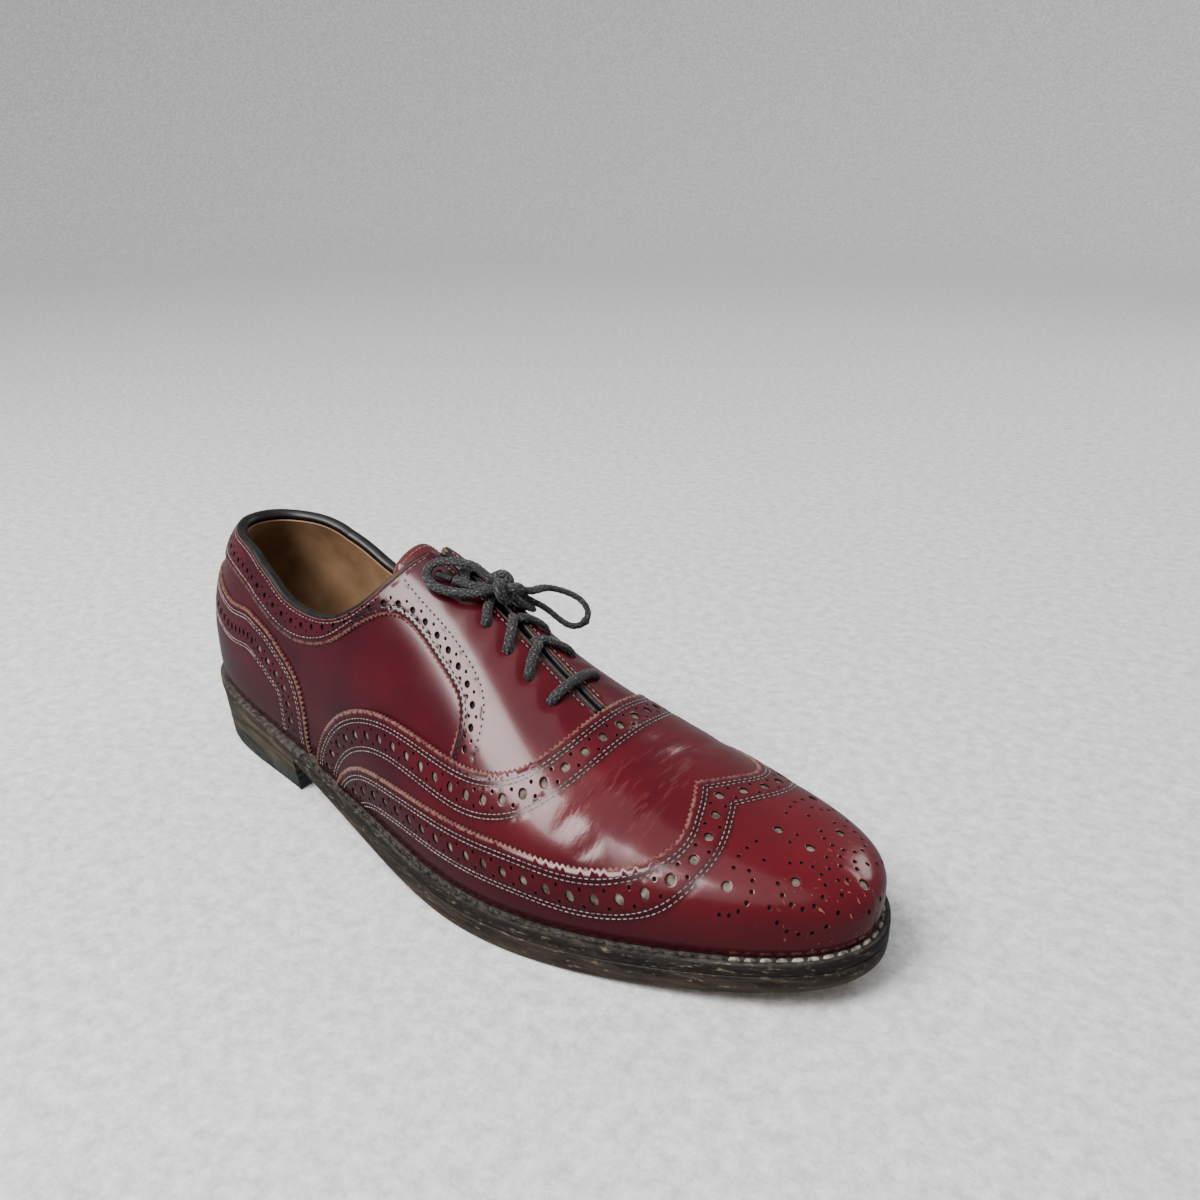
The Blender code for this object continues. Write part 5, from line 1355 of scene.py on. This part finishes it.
def sweep(name, path, normals, half_width, half_thick, mat, sides, braid=None):
    """Flat-oval cord along a path; braid = (pitch, depth) raises crossed strands on it."""
    tangent = unit(np.gradient(path, axis=0))
    normals = unit(normals - tangent * np.sum(normals * tangent, axis=1)[:, None])
    across = np.cross(tangent, normals)
    turn = np.linspace(0, 2 * math.pi, sides, endpoint=False)
    swell = np.ones((len(path), sides))
    relief = np.zeros((len(path), sides))
    if braid:
        pitch, depth = braid
        phase = 2 * math.pi * run_of(path)[:, None] / pitch
        strands = 6
        one, two = np.cos(phase + strands * turn), np.cos(phase - strands * turn)
        relief = np.maximum(one, two) * 0.5 + 0.5
        swell += depth * (relief - 0.5)
    points = (path[:, None] + across[:, None] * (half_width * np.cos(turn) * swell)[..., None]
              + normals[:, None] * (half_thick * np.sin(turn) * swell)[..., None]).reshape(-1, 3)
    faces = []
    for i in range(len(path) - 1):
        faces += ring_faces(i * sides, (i + 1) * sides, sides)
    faces.append(tuple(reversed(range(sides))))
    faces.append(tuple(range(len(points) - sides, len(points))))
    obj = make(name, points, faces, mat, sharp=180)
    attribute(obj, "braid", relief.ravel())
    return obj


def build_edges(mats):
    """Rolled binding round the opening and down both sides of the lacing slit."""
    lateral = half_line(TOPLINE, -1, -0.5, 1.0)[::-1]
    medial = half_line(TOPLINE, 1, -0.5, 1.0)
    line = np.vstack([lateral[:-1], medial[1:]])
    path, normal = lift(line, -2.5)
    binding = sweep("binding", path, normal, 1.25, 2.2, mats["binding"], 14)
    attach(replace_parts(binding, "topline_binding"), "rearfoot")
    for side, name in ((-1, "lateral"), (1, "medial")):
        start = lateral[0] if side < 0 else medial[-1]
        slit = np.vstack([start, [(82, 1.9 * side), (100, 1.8 * side), (130, 1.8 * side),
                                  (SLIT_END + 1, 1.6 * side)]])
        path, normal = lift(through(slit, 1.5), -1.6)
        edge = sweep(f"slit_binding_{name}", path, normal, 0.85, 1.5, mats["binding"], 10)
        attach(edge, "rearfoot")


def build_tongue(mats):
    edge = [(67.5, 0), (67.8, 9), (68.3, 17), (70.5, 24.5), (77, 29), (88, 29), (105, 25.5), (135, 20.5),
            (158, 16)]
    lateral, medial = half_line(edge, -1, 0, 1.2), half_line(edge, 1, 0, 1.2)
    outline = ring_of(medial[::-1], lateral)

    def height(pattern):
        """The free top stands a little proud of the lined quarters."""
        at_top = np.clip((82 - pattern[:, 0]) / 14, 0, 1)
        in_middle = np.clip((24 - np.abs(pattern[:, 1])) / 10, 0, 1)
        return TONGUE_H + 2.4 * at_top * in_middle
    tongue = panel("tongue_leather", outline, [], height, [mats["tongue"], mats["raw"]], spacing=2.2,
                   thickness=TONGUE_THICK)
    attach(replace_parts(tongue, "tongue"), "tongue")
    lines = [half_line(edge, side, -2.2) for side in (-1, 1)]
    row = stitches("stitches_tongue", lines, height, mats["thread"], radius=0.2, rise=0.05)
    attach(row, "tongue")


# ---------------------------------------------------------------- laces
LACE_HALF_WIDTH, LACE_HALF_THICK = 1.55, 1.0
LACE_SIDES, LACE_BRAID = 18, (2.6, 0.34)
CROSS_AHEAD = 7.5                             # how far in front of its hole a row dives into the slit


def lace_route(first_side):
    """One half of the lace: up out of each hole, over the facing, down into the slit and across below."""
    holes = EYELETS[::-1]
    over = BAND_H + LACE_HALF_THICK + 0.15
    p, q = holes[0]
    route = []
    if first_side < 0:
        route += [(p, q + 0.4, -2.8), (p, q - 0.1, -0.3), (p, q - 2.2, over + 0.2), (p, 0.0, over + 0.9),
                  (p, 2.2 - q, over + 0.2), (p, 0.1 - q, -0.3), (p, -q - 0.4, -2.8)]
    else:
        route += [(p + 1, q, -3.6)]
    side = first_side
    late = 0.0 if first_side < 0 else 1.2
    for p, q in holes[1:-1]:
        cross = p - CROSS_AHEAD - late
        route += [(p + 0.3, (q + 0.5) * side, -2.8), (p, q * side, -0.3), (p - 1.3, (q - 1.9) * side, over),
                  (p - 4.2, q * 0.46 * side, over + 0.4), (cross + 1.4, 1.2 * side, over + 0.1),
                  (cross, -1.2 * side, -1.4), (cross - 0.8, -4.5 * side, -3.8)]
        side = -side
    return route


def lace_path(route):
    """Smooth path and normals for a route of (p, q, height)."""
    spacing = 0.5
    lifted = [lift([(p, q)], h) for p, q, h in through(route, 1.0)]
    points, normals = (np.array([pair[k][0] for pair in lifted]) for k in (0, 1))
    run = run_of(points)
    at = np.linspace(0, run[-1], int(run[-1] / spacing))
    return read_at(points, run, at), read_at(normals, run, at)


# the knot and the routes from it over the facings: pattern p, pattern q, height above the skin
KNOT = (108.0, 1.0, 5.6)
BOW_ROUTES = {
    "lace_loop_lateral": [(102.5, -1.5, 6.5), (97, -2, 7), (91, -4.5, 6), (86.5, -7.5, 5), (84.3, -10.5, 4.1),
                          (85.3, -13.3, 3.4), (90, -14.5, 3.3), (96.5, -12, 3.3), (101.5, -8.8, 3.8),
                          (104.5, -6, 4.6)],
    "lace_loop_medial": [(111.5, 7.5, 6.8), (112, 12, 10.4), (114.5, 15, 13.2), (119.5, 16.8, 15.2),
                         (124.5, 17.8, 15.2), (127.8, 18.6, 13), (128.2, 19, 9.8), (126, 18.6, 6.6),
                         (121.5, 17, 5.4), (115.5, 13.5, 5.1), (111.5, 9.5, 4)],
    "lace_end_lateral": [(101.3, -4.6, 3.4), (97, -6.8, 2.7), (93.5, -8.2, 2.5)],
    "lace_end_medial": [(113.6, 4.3, 2.6), (114.8, 9, 2.2), (112.4, 13.4, 2.2), (107.5, 17, 2.4),
                        (101, 20, 2.6), (95, 22, 2.6), (89, 23, 2.6)],
}


def lace(name, path, normal, mats):
    return sweep(name, path, normal, LACE_HALF_WIDTH, LACE_HALF_THICK, mats["lace"], LACE_SIDES, LACE_BRAID)


def build_knot(mats):
    """A trefoil of lace over the slit."""
    centre, up = lift([KNOT[:2]], KNOT[2])
    t = np.linspace(0, 2 * math.pi, 150)
    scale, tall = 1.7, 1.9
    forward = np.array([1.0, 0.0, -0.55])
    forward -= up[0] * np.dot(forward, up[0])
    forward /= np.linalg.norm(forward)
    sideways = np.cross(up[0], forward)
    knot = (np.outer((np.sin(t) + 2 * np.sin(2 * t)) * scale, sideways)
            + np.outer((np.cos(t) - 2 * np.cos(2 * t)) * scale * 0.95, forward)
            + np.outer(-np.sin(3 * t) * tall, up[0])) + centre[0]
    normal = np.tile(up, (len(t), 1)) + 0.01
    ball = sweep("lace_bow_knot", knot, normal, 2.0, 1.6, mats["lace"], LACE_SIDES, LACE_BRAID)
    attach(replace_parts(ball, "lace_knot"), "rearfoot")


def build_laces(mats):
    for first_side, name in ((1, "lace_run_b"), (-1, "lace_run_a")):
        path, normal = lace_path(lace_route(first_side))
        run = lace(name, path, normal, mats)
        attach(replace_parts(run, "lace_row_4", "lace_row_5", "lace_bar"), "rearfoot")
    build_knot(mats)
    pieces, paths = {}, {}
    for name, route in BOW_ROUTES.items():
        lead = tuple(k + 0.45 * (r - k) for k, r in zip(KNOT, route[0]))
        back = [tuple(k + 0.45 * (r - k) for k, r in zip(KNOT, route[-1]))] if "loop" in name else []
        paths[name], normal = lace_path([lead, *route, *back])
        pieces[name] = lace(f"{name}_braid", paths[name], normal, mats)
        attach(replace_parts(pieces[name], name), "rearfoot")


# ---------------------------------------------------------------- CAD nodes that stay, and the whole shoe
def dress_nodes(mats):
    """Better materials for the CAD nodes that are shown as they are."""
    looks = {"heel_nail": "brass", "aglet": "tip", "shank": "steel", "cork_filler": "cork",
             "toe_puff": "board"}
    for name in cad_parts:
        for start, mat in looks.items():
            if name.startswith(start):
                obj = bpy.data.objects.get(name)
                obj.data.materials.clear()
                obj.data.materials.append(mats[mat])


def main():
    build_camera()
    build_light()
    build_floor()
    mats = build_materials()
    build_laces(mats)
    build_sole(mats)
    build_quarters(mats)
    build_counter(mats)
    build_stiffener(mats)
    build_vamp(mats)
    build_wing(mats)
    build_edges(mats)
    build_tongue(mats)
    dress_nodes(mats)


main()
